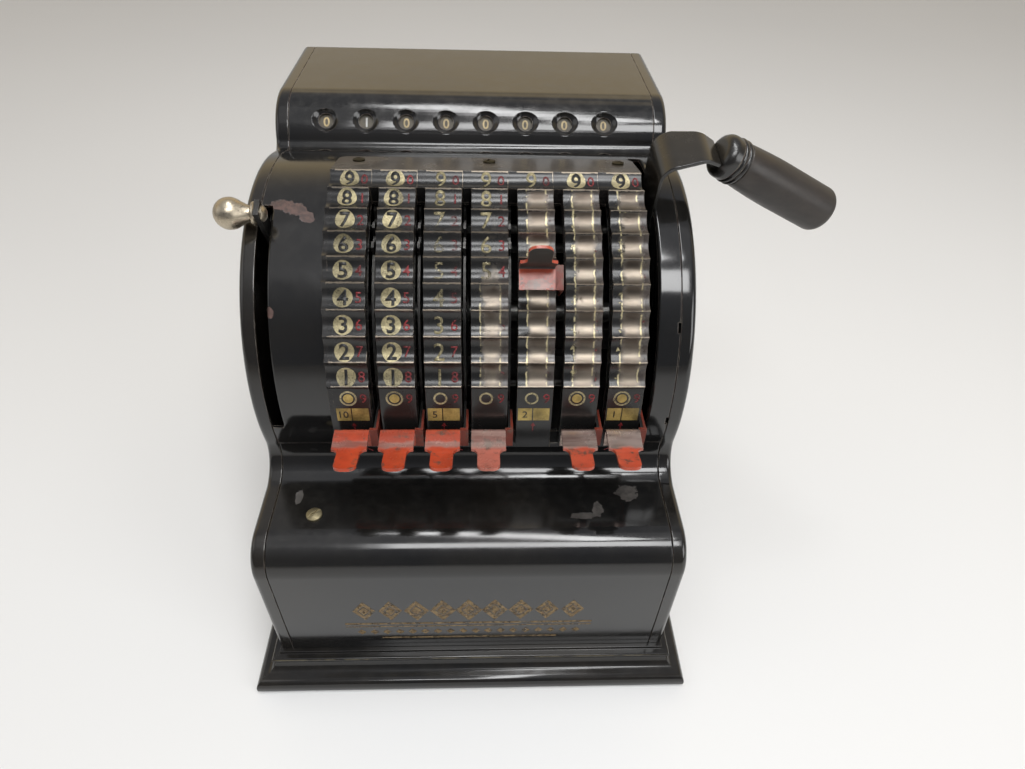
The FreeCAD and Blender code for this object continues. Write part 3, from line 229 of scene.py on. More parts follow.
class FinishColours(bpy.types.PropertyGroup):
    """Colours of the finishes, as linear values."""
    japan: tint("Japan", 0.0062, 0.0062, 0.0062, "Gloss black of the case")
    scuff: tint("Scuff", 0.052, 0.046, 0.041, "Grey of the scuffs on the ledge")
    japan_warm: tint("Warm japan", 0.013, 0.0105, 0.0075, "Brown cast of the aged black")
    primer: tint("Primer", 0.085, 0.044, 0.034, "Red-brown ground under the black")
    bare: tint("Bare steel", 0.34, 0.30, 0.25, "Metal bared at worn edges")
    tin: tint("Tin", 0.26, 0.222, 0.178, "Bright tin of the worn key plate")
    enamel: tint("Enamel", 0.010, 0.0098, 0.0095, "Black of the key plate")
    gilt: tint("Gilt", 0.48, 0.415, 0.24, "Gold of discs and figures")
    label: tint("Label", 0.50, 0.37, 0.12, "Darker gold of the labels")
    red_print: tint("Red print", 0.27, 0.03, 0.033, "Red of the small figures")
    finger: tint("Finger red", 0.45, 0.056, 0.02, "Orange-red of the finger pieces")
    nickel: tint("Nickel", 0.53, 0.46, 0.35, "Worn nickel of the knob")
    screw: tint("Screw", 0.36, 0.31, 0.19, "Dull brass of the screws")
    grip: tint("Grip", 0.017, 0.013, 0.010, "Dark stained wood")
    steel: tint("Steel", 0.46, 0.45, 0.43, "Oiled steel of the mechanism")
    brass: tint("Brass", 0.55, 0.40, 0.17, "Cut brass of the gears")
    tan: tint("Tan", 0.52, 0.40, 0.20, "Aged figures of the wheels")
    dust: tint("Dust", 0.16, 0.15, 0.13, "Dust on upward faces")
    floor: tint("Floor", 0.80, 0.80, 0.79, "Pale floor")


# Drawing and shaping

def settings(*names):
    """The scene's property groups of these names."""
    groups = [getattr(bpy.context.scene, "machine_" + name) for name in names]
    return groups[0] if len(groups) == 1 else groups


def shares(steps):
    """Even shares of a whole, the last of them 1."""
    return [index / steps for index in range(1, steps + 1)]


def dim(colour, share):
    """A colour with each channel multiplied, and kept below white."""
    return [min(1.0, channel * share) for channel in colour]


def only(piece):
    """Select one object alone and make it active."""
    bpy.ops.object.select_all(action="DESELECT")
    piece.select_set(True)
    bpy.context.view_layer.objects.active = piece


def apply_place(piece):
    """Move an object's place, turn and scale into its mesh."""
    only(piece)
    bpy.ops.object.transform_apply(location=True, rotation=True, scale=True)
    return piece


def add(primitive, scale=(1, 1, 1), **options):
    """Add a primitive with its place in its mesh."""
    bpy.ops.object.select_all(action="DESELECT")
    primitive(**options)
    piece = bpy.context.object
    piece.scale = scale
    return apply_place(piece)


@contextmanager
def editing(piece):
    """Edit mode with the whole mesh selected."""
    only(piece)
    bpy.ops.object.mode_set(mode="EDIT")
    bpy.ops.mesh.select_all(action="SELECT")
    yield
    bpy.ops.object.mode_set(mode="OBJECT")


@contextmanager
def picked(piece, kind, test):
    """Edit mode with those faces, edges or vertices selected whose place passes a test."""
    with editing(piece):
        bpy.ops.mesh.select_mode(type=kind)
        bpy.ops.mesh.select_all(action="DESELECT")
    mesh = piece.data
    for vertex in mesh.vertices:
        vertex.select = kind == "VERT" and test(vertex.co)
    for edge in mesh.edges:
        edge.select = kind == "EDGE" and all(test(mesh.vertices[index].co) for index in edge.vertices)
    for face in mesh.polygons:
        face.select = kind == "FACE" and test(face.center)
    bpy.ops.object.mode_set(mode="EDIT")
    yield
    bpy.ops.object.mode_set(mode="OBJECT")


class Pen:
    """Draws one edge after another in edit mode: straight runs are extruded, rounds are spun."""

    def __init__(self, name, start, axis=ACROSS, step=3.5):
        self.piece = add(bpy.ops.mesh.primitive_plane_add, size=MM, location=start)
        self.piece.name = name
        bpy.ops.object.mode_set(mode="EDIT")
        bpy.ops.mesh.select_mode(type="VERT")
        bpy.ops.mesh.select_all(action="SELECT")
        bpy.ops.mesh.merge(type="CENTER")
        self.axis = Vector(axis)
        self.step = step
        self.at = Vector(start)

    def line(self, *ends):
        for end in ends:
            bpy.ops.mesh.extrude_region_move(TRANSFORM_OT_translate={"value": Vector(end) - self.at})
            self.at = Vector(end)
        return self

    def arc(self, centre, end):
        """A round the short way about a centre. The spin turns left-handed about its axis."""
        start, stop = self.at - Vector(centre), Vector(end) - Vector(centre)
        angle = math.atan2(self.axis.dot(start.cross(stop)), start.dot(stop))
        steps = max(2, math.ceil(abs(math.degrees(angle)) / self.step))
        bpy.ops.mesh.spin(steps=steps, angle=-angle, center=centre, axis=self.axis)
        self.at = Vector(end)
        return self

    def close(self):
        """Join the outline's ends and fill it with a face."""
        bpy.ops.mesh.select_all(action="SELECT")
        bpy.ops.mesh.remove_doubles(threshold=HAIR)
        bpy.ops.mesh.edge_face_add()
        return self

    def across(self, offset):
        """Extrude the drawing sideways and leave edit mode."""
        bpy.ops.mesh.select_all(action="SELECT")
        bpy.ops.mesh.extrude_region_move(TRANSFORM_OT_translate={"value": offset})
        return self.leave()

    def lathe(self, centre, axis, steps):
        """Spin the drawing once round an axis and leave edit mode."""
        bpy.ops.mesh.select_all(action="SELECT")
        bpy.ops.mesh.spin(steps=steps, angle=math.tau, center=centre, axis=axis)
        bpy.ops.mesh.select_all(action="SELECT")
        bpy.ops.mesh.remove_doubles(threshold=2 * HAIR)
        return self.leave()

    def leave(self):
        """Turn the faces outward and leave edit mode."""
        bpy.ops.mesh.select_all(action="SELECT")
        bpy.ops.mesh.normals_make_consistent(inside=False)
        bpy.ops.object.mode_set(mode="OBJECT")
        return self.piece


def modify(piece, kind, **options):
    """Add a modifier, set it up and apply it."""
    only(piece)
    made = piece.modifiers.new(kind.title(), kind)
    for key, value in options.items():
        setattr(made, key, value)
    bpy.ops.object.modifier_apply(modifier=made.name)
    return piece


def cut(piece, cutter, operation="DIFFERENCE"):
    modify(piece, "BOOLEAN", operation=operation, solver="EXACT", object=cutter)
    bpy.data.objects.remove(cutter)
    return piece


def repeat(piece, count, step):
    return modify(piece, "ARRAY", count=count, use_relative_offset=False, use_constant_offset=True,
                  constant_offset_displace=step)


def round_edges(piece, width, segments=2, limit=40):
    return modify(piece, "BEVEL", width=width, segments=segments, limit_method="ANGLE",
                  angle_limit=math.radians(limit), use_clamp_overlap=True, miter_outer="MITER_ARC")


def smooth(piece, degrees=38):
    only(piece)
    bpy.ops.object.shade_smooth_by_angle(angle=math.radians(degrees))
    return modify(piece, "WEIGHTED_NORMAL", keep_sharp=True)


def face_out(piece, inside):
    """Turn an open sheet's faces away from a point inside the machine."""
    facing = sum(face.area * face.normal.dot(face.center - inside) for face in piece.data.polygons)
    if facing < 0:
        with editing(piece):
            bpy.ops.mesh.flip_normals()
    return piece


def thicken(piece, gauge):
    return modify(piece, "SOLIDIFY", thickness=gauge, offset=-1, use_even_offset=True)


def copy_of(piece, name, offset):
    """A copy with a mesh of its own, moved by an offset."""
    made = piece.copy()
    made.data = piece.data.copy()
    made.name = name
    bpy.context.scene.collection.objects.link(made)
    made.location = offset
    return apply_place(made)


def join(pieces, name):
    bpy.ops.object.select_all(action="DESELECT")
    for piece in pieces:
        piece.select_set(True)
    bpy.context.view_layer.objects.active = pieces[0]
    bpy.ops.object.join()
    pieces[0].name = name
    return pieces[0]


def turn_about(piece, centre, angle):
    """Turn a piece about an axis along X. A positive angle lifts its front."""
    with editing(piece):
        bpy.ops.transform.rotate(value=angle, orient_axis="X", center_override=centre)
    return piece


def turned(pen, place, steps):
    """Spin a drawing round the X axis, bring it to its place and smooth it."""
    piece = pen.lathe((0, 0, 0), ACROSS, steps)
    piece.matrix_world = place
    return smooth(apply_place(piece))


def finish(piece, material, body, slot, *nodes):
    """Give a finished piece its material and body, and hide the nodes it stands for. The slot is not used."""
    piece.data.materials.clear()
    piece.data.materials.append(material)
    piece.data.name = piece.name
    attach(piece, body)
    if nodes:
        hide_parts(*nodes)
    return piece


# Places

def at_angle(radius, angle, x=0.0):
    """A point about the main axis. The angle runs from straight forward over the top."""
    return AXIS + Vector((x, -radius * math.cos(angle), radius * math.sin(angle)))


STATIONS = (
    "back_foot", "back_top", "roof_back", "roof_front", "nose_foot", "arc_top",
    "arc_foot", "ledge_back", "ledge_front", "front_top", "front_foot")


class CaseOutline:
    """Corners and round centres of the case, seen from its left end, at a place along X."""

    def __init__(self, case, x):
        axis = Vector((x, AXIS.y, AXIS.z))
        arc = case.arc_radius
        nose = axis + Vector((0, case.nose_back, case.nose_up))
        nose_fillet = self.touch(axis, arc + case.nose_fillet, nose, case.nose_radius + case.nose_fillet)
        fillet_up = case.ledge_fillet - case.ledge_drop
        fillet_out = math.sqrt((arc + case.ledge_fillet) ** 2 - fillet_up ** 2)
        ledge_fillet = axis + Vector((0, -fillet_out, fillet_up))
        ledge = axis.z - case.ledge_drop
        front_round = Vector((x, axis.y - case.front_reach + case.front_round, ledge - case.front_round))
        top = nose.z + case.nose_radius
        back = axis.y + case.back_reach
        back_corner = Vector((x, back - case.back_corner, top - case.back_corner))
        front = axis.y - case.front_reach
        self.points = dict(zip(STATIONS, (
            Vector((x, back, CASE_FOOT)),
            Vector((x, back, back_corner.z)),
            Vector((x, back_corner.y, top)),
            Vector((x, nose.y, top)),
            nose + (nose_fillet - nose).normalized() * case.nose_radius,
            axis + (nose_fillet - axis).normalized() * arc,
            axis + (ledge_fillet - axis).normalized() * arc,
            Vector((x, ledge_fillet.y, ledge)),
            Vector((x, front_round.y, ledge)),
            Vector((x, front, front_round.z)),
            Vector((x, front, CASE_FOOT)),
        )))
        self.rounds = {
            "back_top": back_corner, "roof_front": nose, "nose_foot": nose_fillet,
            "arc_top": axis, "arc_foot": ledge_fillet, "ledge_front": front_round}
        self.nose = nose

    @staticmethod
    def touch(first, first_radius, second, second_radius):
        """The front one of the two points at given distances from two centres."""
        gap = second - first
        along = (gap.length_squared + first_radius ** 2 - second_radius ** 2) / (2 * gap.length)
        aside = math.sqrt(first_radius ** 2 - along ** 2)
        unit = gap.normalized()
        return first + unit * along + Vector((0, -unit.z, unit.y)) * aside

    def draw(self, name, first, last):
        """A pen that has drawn the outline between two stations."""
        run = STATIONS[STATIONS.index(first):STATIONS.index(last) + 1]
        pen = Pen(name, self.points[first])
        for start, end in zip(run, run[1:]):
            if start in self.rounds:
                pen.arc(self.rounds[start], self.points[end])
            else:
                pen.line(self.points[end])
        return pen


def cover_sheet(name, first, last):
    """A cover of bent sheet between the two side panels."""
    case = settings("case")
    inset = case.rim_band + case.seam
    pen = CaseOutline(case, CASE_LEFT + inset).draw(name, first, last)
    sheet = pen.across((CASE_RIGHT - CASE_LEFT - 2 * inset, 0, 0))
    return thicken(face_out(sheet, AXIS), case.sheet)


def arc_block(x, width, inner, outer, first, last):
    """A block between two radii and two front angles, used as a cutter."""
    pen = Pen("arc_block", at_angle(inner, first, x))
    centre = Vector((x, AXIS.y, AXIS.z))
    pen.line(at_angle(outer, first, x)).arc(centre, at_angle(outer, last, x))
    pen.line(at_angle(inner, last, x)).arc(centre, at_angle(inner, first, x))
    return pen.close().across((width, 0, 0))


def lever_slots(inner, outer):
    """Cutters for the lever slots between two radii."""
    keys = settings("keys")
    top = keys.top_ridge - keys.row_turn
    slots = arc_block(column_right(1), keys.slot, inner, outer, keys.slot_foot, top)
    return repeat(slots, keys.columns - 1, (keys.pitch, 0, 0))


def column_left(column):
    keys = settings("keys")
    return PLATE_LEFT + keys.border + (column - 1) * keys.pitch


def column_right(column):
    keys = settings("keys")
    return column_left(column) + keys.pitch - keys.slot


def window_x(number):
    low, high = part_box("number_wheel_%d" % number)
    return (low.x + high.x) / 2


# Node trees

class Value:
    """A node's output. Sums with it add Math nodes."""

    def __init__(self, shade, socket):
        self.shade = shade
        self.socket = socket

    def __add__(self, other):
        return self.shade.math("ADD", self, other)

    def __sub__(self, other):
        return self.shade.math("SUBTRACT", self, other)

    def __rsub__(self, other):
        return self.shade.math("SUBTRACT", other, self)

    def __mul__(self, other):
        return self.shade.math("MULTIPLY", self, other)

    def __truediv__(self, other):
        return self.shade.math("DIVIDE", self, other)

    def __lt__(self, other):
        return self.shade.math("LESS_THAN", self, other)

    def __gt__(self, other):
        return self.shade.math("GREATER_THAN", self, other)

    def __abs__(self):
        return self.shade.math("ABSOLUTE", self)


class Shade:
    """Adds nodes to a tree and links them."""

    def __init__(self, tree):
        self.tree = tree

    def feed(self, socket, value):
        """Link an output to an input, or set a constant on it."""
        if isinstance(value, Value):
            self.tree.links.new(value.socket, socket)
        elif socket.type == "RGBA":
            socket.default_value = (*value, 1)
        else:
            socket.default_value = value

    def node(self, kind, inputs, **options):
        """A node with its options set and its inputs fed by name or number."""
        made = self.tree.nodes.new("ShaderNode" + kind)
        for key, value in options.items():
            setattr(made, key, value)
        for key, value in inputs.items():
            self.feed(made.inputs[key], value)
        return made

    def get(self, kind, output, inputs, **options):
        """One output of a new node."""
        return Value(self, self.node(kind, inputs, **options).outputs[output])

    def math(self, operation, first, second=0.0, clamp=False):
        return self.get("Math", 0, {0: first, 1: second}, operation=operation, use_clamp=clamp)

    def most(self, first, second):
        return self.math("MAXIMUM", first, second)

    def vector(self, operation, *values):
        output = "Value" if operation in ("DOT_PRODUCT", "LENGTH") else "Vector"
        return self.get("VectorMath", output, dict(enumerate(values)), operation=operation)

    def split(self, vector):
        return [Value(self, output) for output in self.node("SeparateXYZ", {0: vector}).outputs]

    def step(self, value, low, high):
        """A smooth step from 0 at low to 1 at high."""
        ends = {"Value": value, "From Min": low, "From Max": high}
        return self.get("MapRange", 0, ends, interpolation_type="SMOOTHSTEP")

    def band(self, value, low, full, fall, end):
        """A smooth rise from low to full, and a smooth fall further on."""
        return self.step(value, low, full) * (1 - self.step(value, fall, end))

    def spread(self, value, low, high):
        """A straight change from low to high as a value goes from 0 to 1."""
        return self.get("MapRange", 0, {"Value": value, "To Min": low, "To Max": high})

    def noise(self, vector, scale, detail=3, roughness=0.55):
        given = {"Vector": vector, "Scale": scale, "Detail": detail, "Roughness": roughness}
        return self.get("TexNoise", 0, given)

    def mix(self, factor, first, second):
        return self.get("Mix", 2, {0: factor, 6: first, 7: second}, data_type="RGBA")

    def bump(self, height, distance, strength):
        return self.get("Bump", 0, {"Height": height, "Distance": distance, "Strength": strength})

    def place(self, stretch=None):
        """Object coordinates, stretched where a pattern has a direction."""
        spot = self.get("TexCoord", "Object", {})
        return spot if stretch is None else self.get("Mapping", 0, {"Vector": spot, "Scale": stretch})

    def effect(self, tree, **values):
        """The outputs of an effect group with its own values. An underscore stands for a space."""
        inputs = {key.replace("_", " "): value for key, value in values.items()}
        made = self.node("Group", inputs, node_tree=tree)
        return {output.name: Value(self, output) for output in made.outputs}


def effect_group(name, build, **inputs):
    """A group of an effect's nodes. Inputs have defaults, outputs are what the effect's function returns."""
    tree = bpy.data.node_groups.new(name, "ShaderNodeTree")
    for key, default in inputs.items():
        kind = "NodeSocketFloat" if isinstance(default, float) else "NodeSocketVector"
        socket = tree.interface.new_socket(name=key.replace("_", " "), in_out="INPUT", socket_type=kind)
        socket.default_value = default
    shade = Shade(tree)
    start = tree.nodes.new("NodeGroupInput").outputs
    made = build(shade, *(Value(shade, start[index]) for index in range(len(inputs))))
    for key in made:
        tree.interface.new_socket(name=key, in_out="OUTPUT", socket_type="NodeSocketFloat")
    end = tree.nodes.new("NodeGroupOutput").inputs
    for key, value in made.items():
        shade.feed(end[key], value)
    return tree


def edge_wear(shade, radius, amount, scale):
    """Marks worn edges, where a rounded normal leaves the true one."""
    rounded = shade.get("Bevel", 0, {"Radius": radius}, samples=6)
    bend = 1 - shade.vector("DOT_PRODUCT", rounded, shade.get("NewGeometry", "Normal", {}))
    ragged = shade.noise(shade.place(), scale, 4, 0.65)
    start = 1.15 - amount
    return {"Mask": shade.step(bend * shade.spread(ragged, 0.2, 9), start, start + 0.35)}


def mottle(shade, scale):
    """Broad and fine clouds, for uneven colour and gloss."""
    spot = shade.place()
    broad = shade.noise(spot, scale, 4, 0.6)
    fine = shade.noise(spot, scale * 14, 3, 0.6)
    return {"Broad": shade.step(broad, 0.35, 0.68), "Fine": shade.step(fine, 0.3, 0.7)}


def dust(shade, amount, scale):
    """Dust that settles on upward faces."""
    up = shade.split(shade.get("NewGeometry", "Normal", {}))[2]
    grains = shade.step(shade.noise(shade.place(), scale, 6, 0.7), 0.38, 0.75)
    return {"Mask": shade.step(up, 0.35, 1) * grains * amount}


def chip(shade, centre, shape, size, ragged):
    """One ragged chip about a centre, longer in one direction where it is stretched."""
    spot = shade.place()
    gap = shade.vector("DIVIDE", shade.vector("SUBTRACT", spot, centre), shape)
    rough = shade.noise(spot, 260, 5, 0.65) - 0.5
    edge = shade.vector("LENGTH", gap) / size + rough * (ragged * 2.2)
    return {"Mask": 1 - shade.step(edge, 0.82, 1)}


def scratches(shade, scale, amount):
    """Fine scratches that run mostly across the machine."""
    lines = shade.step(shade.noise(shade.place((0.06, 1, 1)), scale, 6, 0.72), 0.62, 0.72)
    patch = shade.step(shade.noise(shade.place(), 28, 2), 0.42, 0.62)
    return {"Mask": lines * patch * amount}


def key_cell(shade, axis, left, pitch, width, top, row_turn):
    """Place of a point on the key plate: its column and row, and its share across and down the cell."""
    x, y, z = shade.split(shade.vector("SUBTRACT", shade.place(), axis))
    columns = (x - left) / pitch
    rows = (top - shade.math("ARCTAN2", z, y * -1)) / row_turn
    return {
        "Column": shade.math("FLOOR", columns), "Across": shade.math("FRACT", columns) * pitch / width,
        "Row": rows, "Down": shade.math("FRACT", rows)}


# Share of wear of each column, from the left, as on a machine whose low columns work most
COLUMN_WEAR = (0.10, 0.14, 0.12, 0.22, 1.0, 1.0, 0.95)


def key_wear(shade, cells):
    """Where the key plate is rubbed: hollows of busy columns with gilt left at their edges, and ridges; also
    where each hollow gets painted shade.
    """
    cell = shade.effect(cells)
    column, share, row, down = (cell[key] for key in ("Column", "Across", "Row", "Down"))
    spot = shade.place()
    count = len(COLUMN_WEAR)
    ramp = shade.node("ValToRGB", {0: (column + 0.5) / count})
    ramp.color_ramp.interpolation = "CONSTANT"
    stops = ramp.color_ramp.elements
    while len(stops) < count:
        stops.new(len(stops) / count)
    for index, level in enumerate(COLUMN_WEAR):
        stops[index].position = index / count
        stops[index].color = (level, level, level, 1)
    fourth = shade.step(row, 3.6, 5.6) * 0.52 * shade.math("COMPARE", column, 3)
    wear = (Value(shade, ramp.outputs[0]) + fourth) * shade.band(row, 0.98, 1.04, 8.96, 9)
    across = share + (shade.noise(spot, 260) - 0.5) * 0.14
    blotch = (shade.noise(spot, 300, 5, 0.65) - 0.5) * 0.9
    worn = shade.band(across, 0.10, 0.46, 0.62, 1) * shade.step(down, 0.02, 0.10) * wear + blotch
    off_edge = abs(abs(across - 0.52) - 0.265)
    busy = shade.step(wear, 0.6, 0.8) * shade.step(shade.noise(spot, 260), 0.42, 0.55)
    lower = shade.step(down, 0.74, 0.98) * 0.75
    third = shade.band(row, 1.6, 2.6, 5.2, 6.6) * shade.math("COMPARE", column, 2)
    gone = shade.step(wear, 0.5, 0.8) * shade.step(shade.noise(spot, 330), 0.36, 0.46)
    near = shade.math("MINIMUM", down, 1 - down)
    ridge = near < shade.spread(shade.noise(spot, 420, 4, 0.7), -0.01, 0.075)
    side = shade.math("MINIMUM", share, 1 - share)
    flank = side < shade.spread(shade.noise(spot, 200, 5, 0.7), -0.06, 0.045)
    edge = shade.most(ridge * (1 - shade.step(row, 9.03, 9.12)), flank)
    on_column = (share < 1.02) * (column > -0.5)
    return {
        "Hollow": shade.step(worn, 0.18, 0.95) * shade.step(wear, 0.05, 0.3),
        "Edge": edge * on_column * shade.step(row, -0.06, -0.02),
        "Rest": (1 - shade.step(off_edge, 0.008, 0.03)) * busy,
        "Thin": wear * shade.step(share, 0.55, 0.95),
        # Painted shade over the upper part of each hollow and near its lower ridge, leaving a lit band
        # between
        "Tone": shade.math("ADD", lower, 1 - shade.step(down, 0.22, 0.62), clamp=True),
        "Flange": row < 0,
        "Fade": shade.most(third * 0.55, gone)}


class Effects:
    """The effect groups, each built once."""

    def __init__(self):
        keys = settings("keys")
        self.edge_wear = effect_group("Edge wear", edge_wear, Radius=0.8 * MM, Amount=0.4, Scale=350.0)
        self.mottle = effect_group("Mottle", mottle, Scale=30.0)
        self.dust = effect_group("Dust", dust, Amount=0.3, Scale=180.0)
        self.chip = effect_group(
            "Chip", chip, Centre=(0, 0, 0), Shape=(1, 1, 1), Size=4 * MM, Ragged=1.0)
        self.scratches = effect_group("Scratches", scratches, Scale=90.0, Amount=0.4)
        cells = effect_group(
            "Key cell", key_cell, Axis=AXIS, Left=column_left(1), Pitch=keys.pitch,
            Width=keys.pitch - keys.slot, Top=keys.top_ridge, Row_turn=keys.row_turn)
        self.key_wear = effect_group("Key wear", lambda shade: key_wear(shade, cells))


EFFECTS = []


def effects():
    if not EFFECTS:
        EFFECTS.append(Effects())
    return EFFECTS[0]


class Finish(Shade):
    """The nodes of one material, before its shader."""

    def __init__(self, name):
        self.material = bpy.data.materials.new(name)
        self.material.use_nodes = True
        super().__init__(self.material.node_tree)

    def coat(self, **values):
        """Feed the shader's inputs and hand out the material. An underscore stands for a space."""
        surface = self.tree.nodes["Principled BSDF"].inputs
        for key, value in values.items():
            self.feed(surface[key.replace("_", " ")], value)
        return self.material


# Finishes

def japan_finish(name, wear=0.35, gloss=0.09, chips=(), brown=0.4, dust=0.04, ground=None):
    """Aged gloss black with brown clouds, worn edges, scratches, dust and chips down to the ground coat."""
    shade, paint, group = Finish(name), settings("colours"), effects()
    clouds = shade.effect(group.mottle, Scale=16)
    edge = shade.effect(group.edge_wear, Amount=wear)["Mask"]
    scratch = shade.effect(group.scratches, Amount=0.3)["Mask"]
    settled = shade.effect(group.dust, Amount=dust)["Mask"]
    colour = shade.mix(clouds["Broad"] * brown, paint.japan, paint.japan_warm)
    colour = shade.mix(scratch * 0.35, colour, paint.dust)
    colour = shade.mix(settled, colour, paint.dust)
    colour = shade.mix(edge, colour, shade.mix(clouds["Fine"], paint.primer, paint.bare))
    ground = ground or paint.primer
    patch = shade.step(shade.noise(shade.place(), 420, 4, 0.7), 0.36, 0.66)
    ground = shade.mix(patch, dim(ground, 1.15), dim(ground, 0.45))
    bared = edge
    for centre, shape, size in chips:
        mask = shade.effect(group.chip, Centre=centre, Shape=shape, Size=size, Ragged=0.8)["Mask"]
        colour = shade.mix(mask, colour, ground)
        bared = shade.most(bared, mask)
    dull = shade.spread(clouds["Broad"], gloss, gloss + 0.08) + scratch * 0.2 + settled * 0.9
    peel, waves = shade.noise(shade.place(), 420, 2), shade.noise(shade.place(), 34, 1.5)
    return shade.coat(
        Base_Color=colour, Specular_IOR_Level=0.68,
        Roughness=shade.math("ADD", dull, bared * 0.38, clamp=True),
        Normal=shade.bump(peel * 0.12 + waves * 4 - bared, 0.05 * MM, 0.8))


def base_finish():
    """Ebonised moulding: gloss black, brassy rubbed bead, scuffed lip and fine mitre lines."""
    shade, group = Finish("ebonised_moulding"), effects()
    base, paint = settings("base", "colours")
    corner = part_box("base_frame")[1]
    x, y, z = shade.split(shade.place())
    clouds = shade.effect(group.mottle, Scale=22)
    edge = shade.effect(group.edge_wear, Radius=0.8 * MM, Amount=0.26)["Mask"]
    settled = shade.effect(group.dust, Amount=0.06)["Mask"]
    off_bead = abs(z - (base.bead_foot + 1.55 * base.bead_round))
    patchy = shade.step(shade.noise(shade.place((0.3, 0.3, 1)), 300, 5, 0.7), 0.42, 0.62)
    rubbed = (1 - shade.step(off_bead, 0.1 * MM, 0.35 * MM)) * patchy
    mitre = abs((corner.x - abs(x)) - (corner.y - abs(y))) < 0.12 * MM
    colour = shade.mix(clouds["Broad"], paint.japan, paint.japan_warm)
    colour = shade.mix(settled, colour, paint.dust)
    colour = shade.mix(edge, colour, paint.primer)
    colour = shade.mix(rubbed * 0.6, colour, dim(paint.screw, 0.4))
    dull = shade.spread(clouds["Broad"], 0.11, 0.2)
    grain = shade.noise(shade.place((0.15, 1, 1)), 700)
    return shade.coat(
        Base_Color=colour, Specular_IOR_Level=0.6,
        Roughness=shade.math("ADD", dull, edge * 0.35, clamp=True),
        Normal=shade.bump(grain * 0.05 - (edge + mitre), 0.06 * MM, 0.6))


def key_finish():
    """Black enamel rubbed to bright tin, with brown painted shade over the upper and lower parts of each worn
    hollow, and gilt at the rubbed edges.
    """
    shade, paint, group = Finish("key_enamel"), settings("colours"), effects()
    # thin_enamel and rubbed_flange are worn enamel; stain is the brown of the painted shade in worn hollows
    thin_enamel, rubbed_flange, stain = (0.085, 0.068, 0.058), (0.078, 0.065, 0.052), (0.082, 0.066, 0.053)
    worn = shade.effect(group.key_wear)
    clouds = shade.effect(group.mottle, Scale=45)
    edge = shade.effect(group.edge_wear, Radius=0.5 * MM, Amount=0.3, Scale=500)["Mask"]
    bright = shade.most(worn["Hollow"], shade.most(worn["Edge"], edge))
    colour = shade.mix(worn["Thin"] * shade.spread(clouds["Fine"], 0.35, 0.75), paint.enamel, thin_enamel)
    colour = shade.mix(worn["Flange"] * shade.spread(clouds["Broad"], 0.55, 1), colour, rubbed_flange)
    streak = shade.step(shade.noise(shade.place((0.25, 1, 1)), 520, 4), 0.35, 0.7)
    tin = shade.mix(streak * 0.3, paint.tin, dim(paint.tin, 0.5))
    # Darken the tin over each hollow's upper and lower parts: painted shade
    tin = shade.mix(worn["Hollow"] * worn["Tone"], tin, stain)
    colour = shade.mix(bright, colour, tin)
    return shade.coat(
        Base_Color=shade.mix(worn["Rest"], colour, paint.gilt), Metallic=bright * 0.9,
        Roughness=shade.spread(clouds["Broad"], 0.2, 0.3) + bright * 0.14,
        Normal=shade.bump(clouds["Fine"] * 0.1 - bright, 0.025 * MM, 0.6))


def print_finish(name, colour, metal=0.0, fade=0.0):
    """Print on the key plate, gone where the plate is rubbed."""
    shade, group = Finish(name), effects()
    worn = shade.effect(group.key_wear)
    clouds = shade.effect(group.mottle, Scale=90)
    patch = shade.step(shade.noise(shade.place(), 130, 4, 0.6), 0.46, 0.66)
    lost = worn["Hollow"] + shade.most(clouds["Fine"], patch) * fade + worn["Fade"]
    return shade.coat(
        Base_Color=shade.mix(clouds["Broad"], colour, dim(colour, 0.38)), Metallic=metal,
        Roughness=shade.spread(clouds["Fine"], 0.32, 0.5),
        Alpha=shade.math("SUBTRACT", 1, lost, clamp=True))


def ornament_finish():
    """Faded gilt line work."""
    shade = Finish("faded_gilt")
    gilt, brown = (0.30, 0.20, 0.08), (0.15, 0.095, 0.045)
    fine = shade.effect(effects().mottle, Scale=60)["Fine"]
    return shade.coat(
        Base_Color=shade.mix(fine, gilt, brown), Metallic=0.25,
        Roughness=shade.spread(fine, 0.3, 0.5),
        Alpha=shade.step(shade.noise(shade.place(), 330, 5, 0.68), 0.3, 0.54) * 0.75)


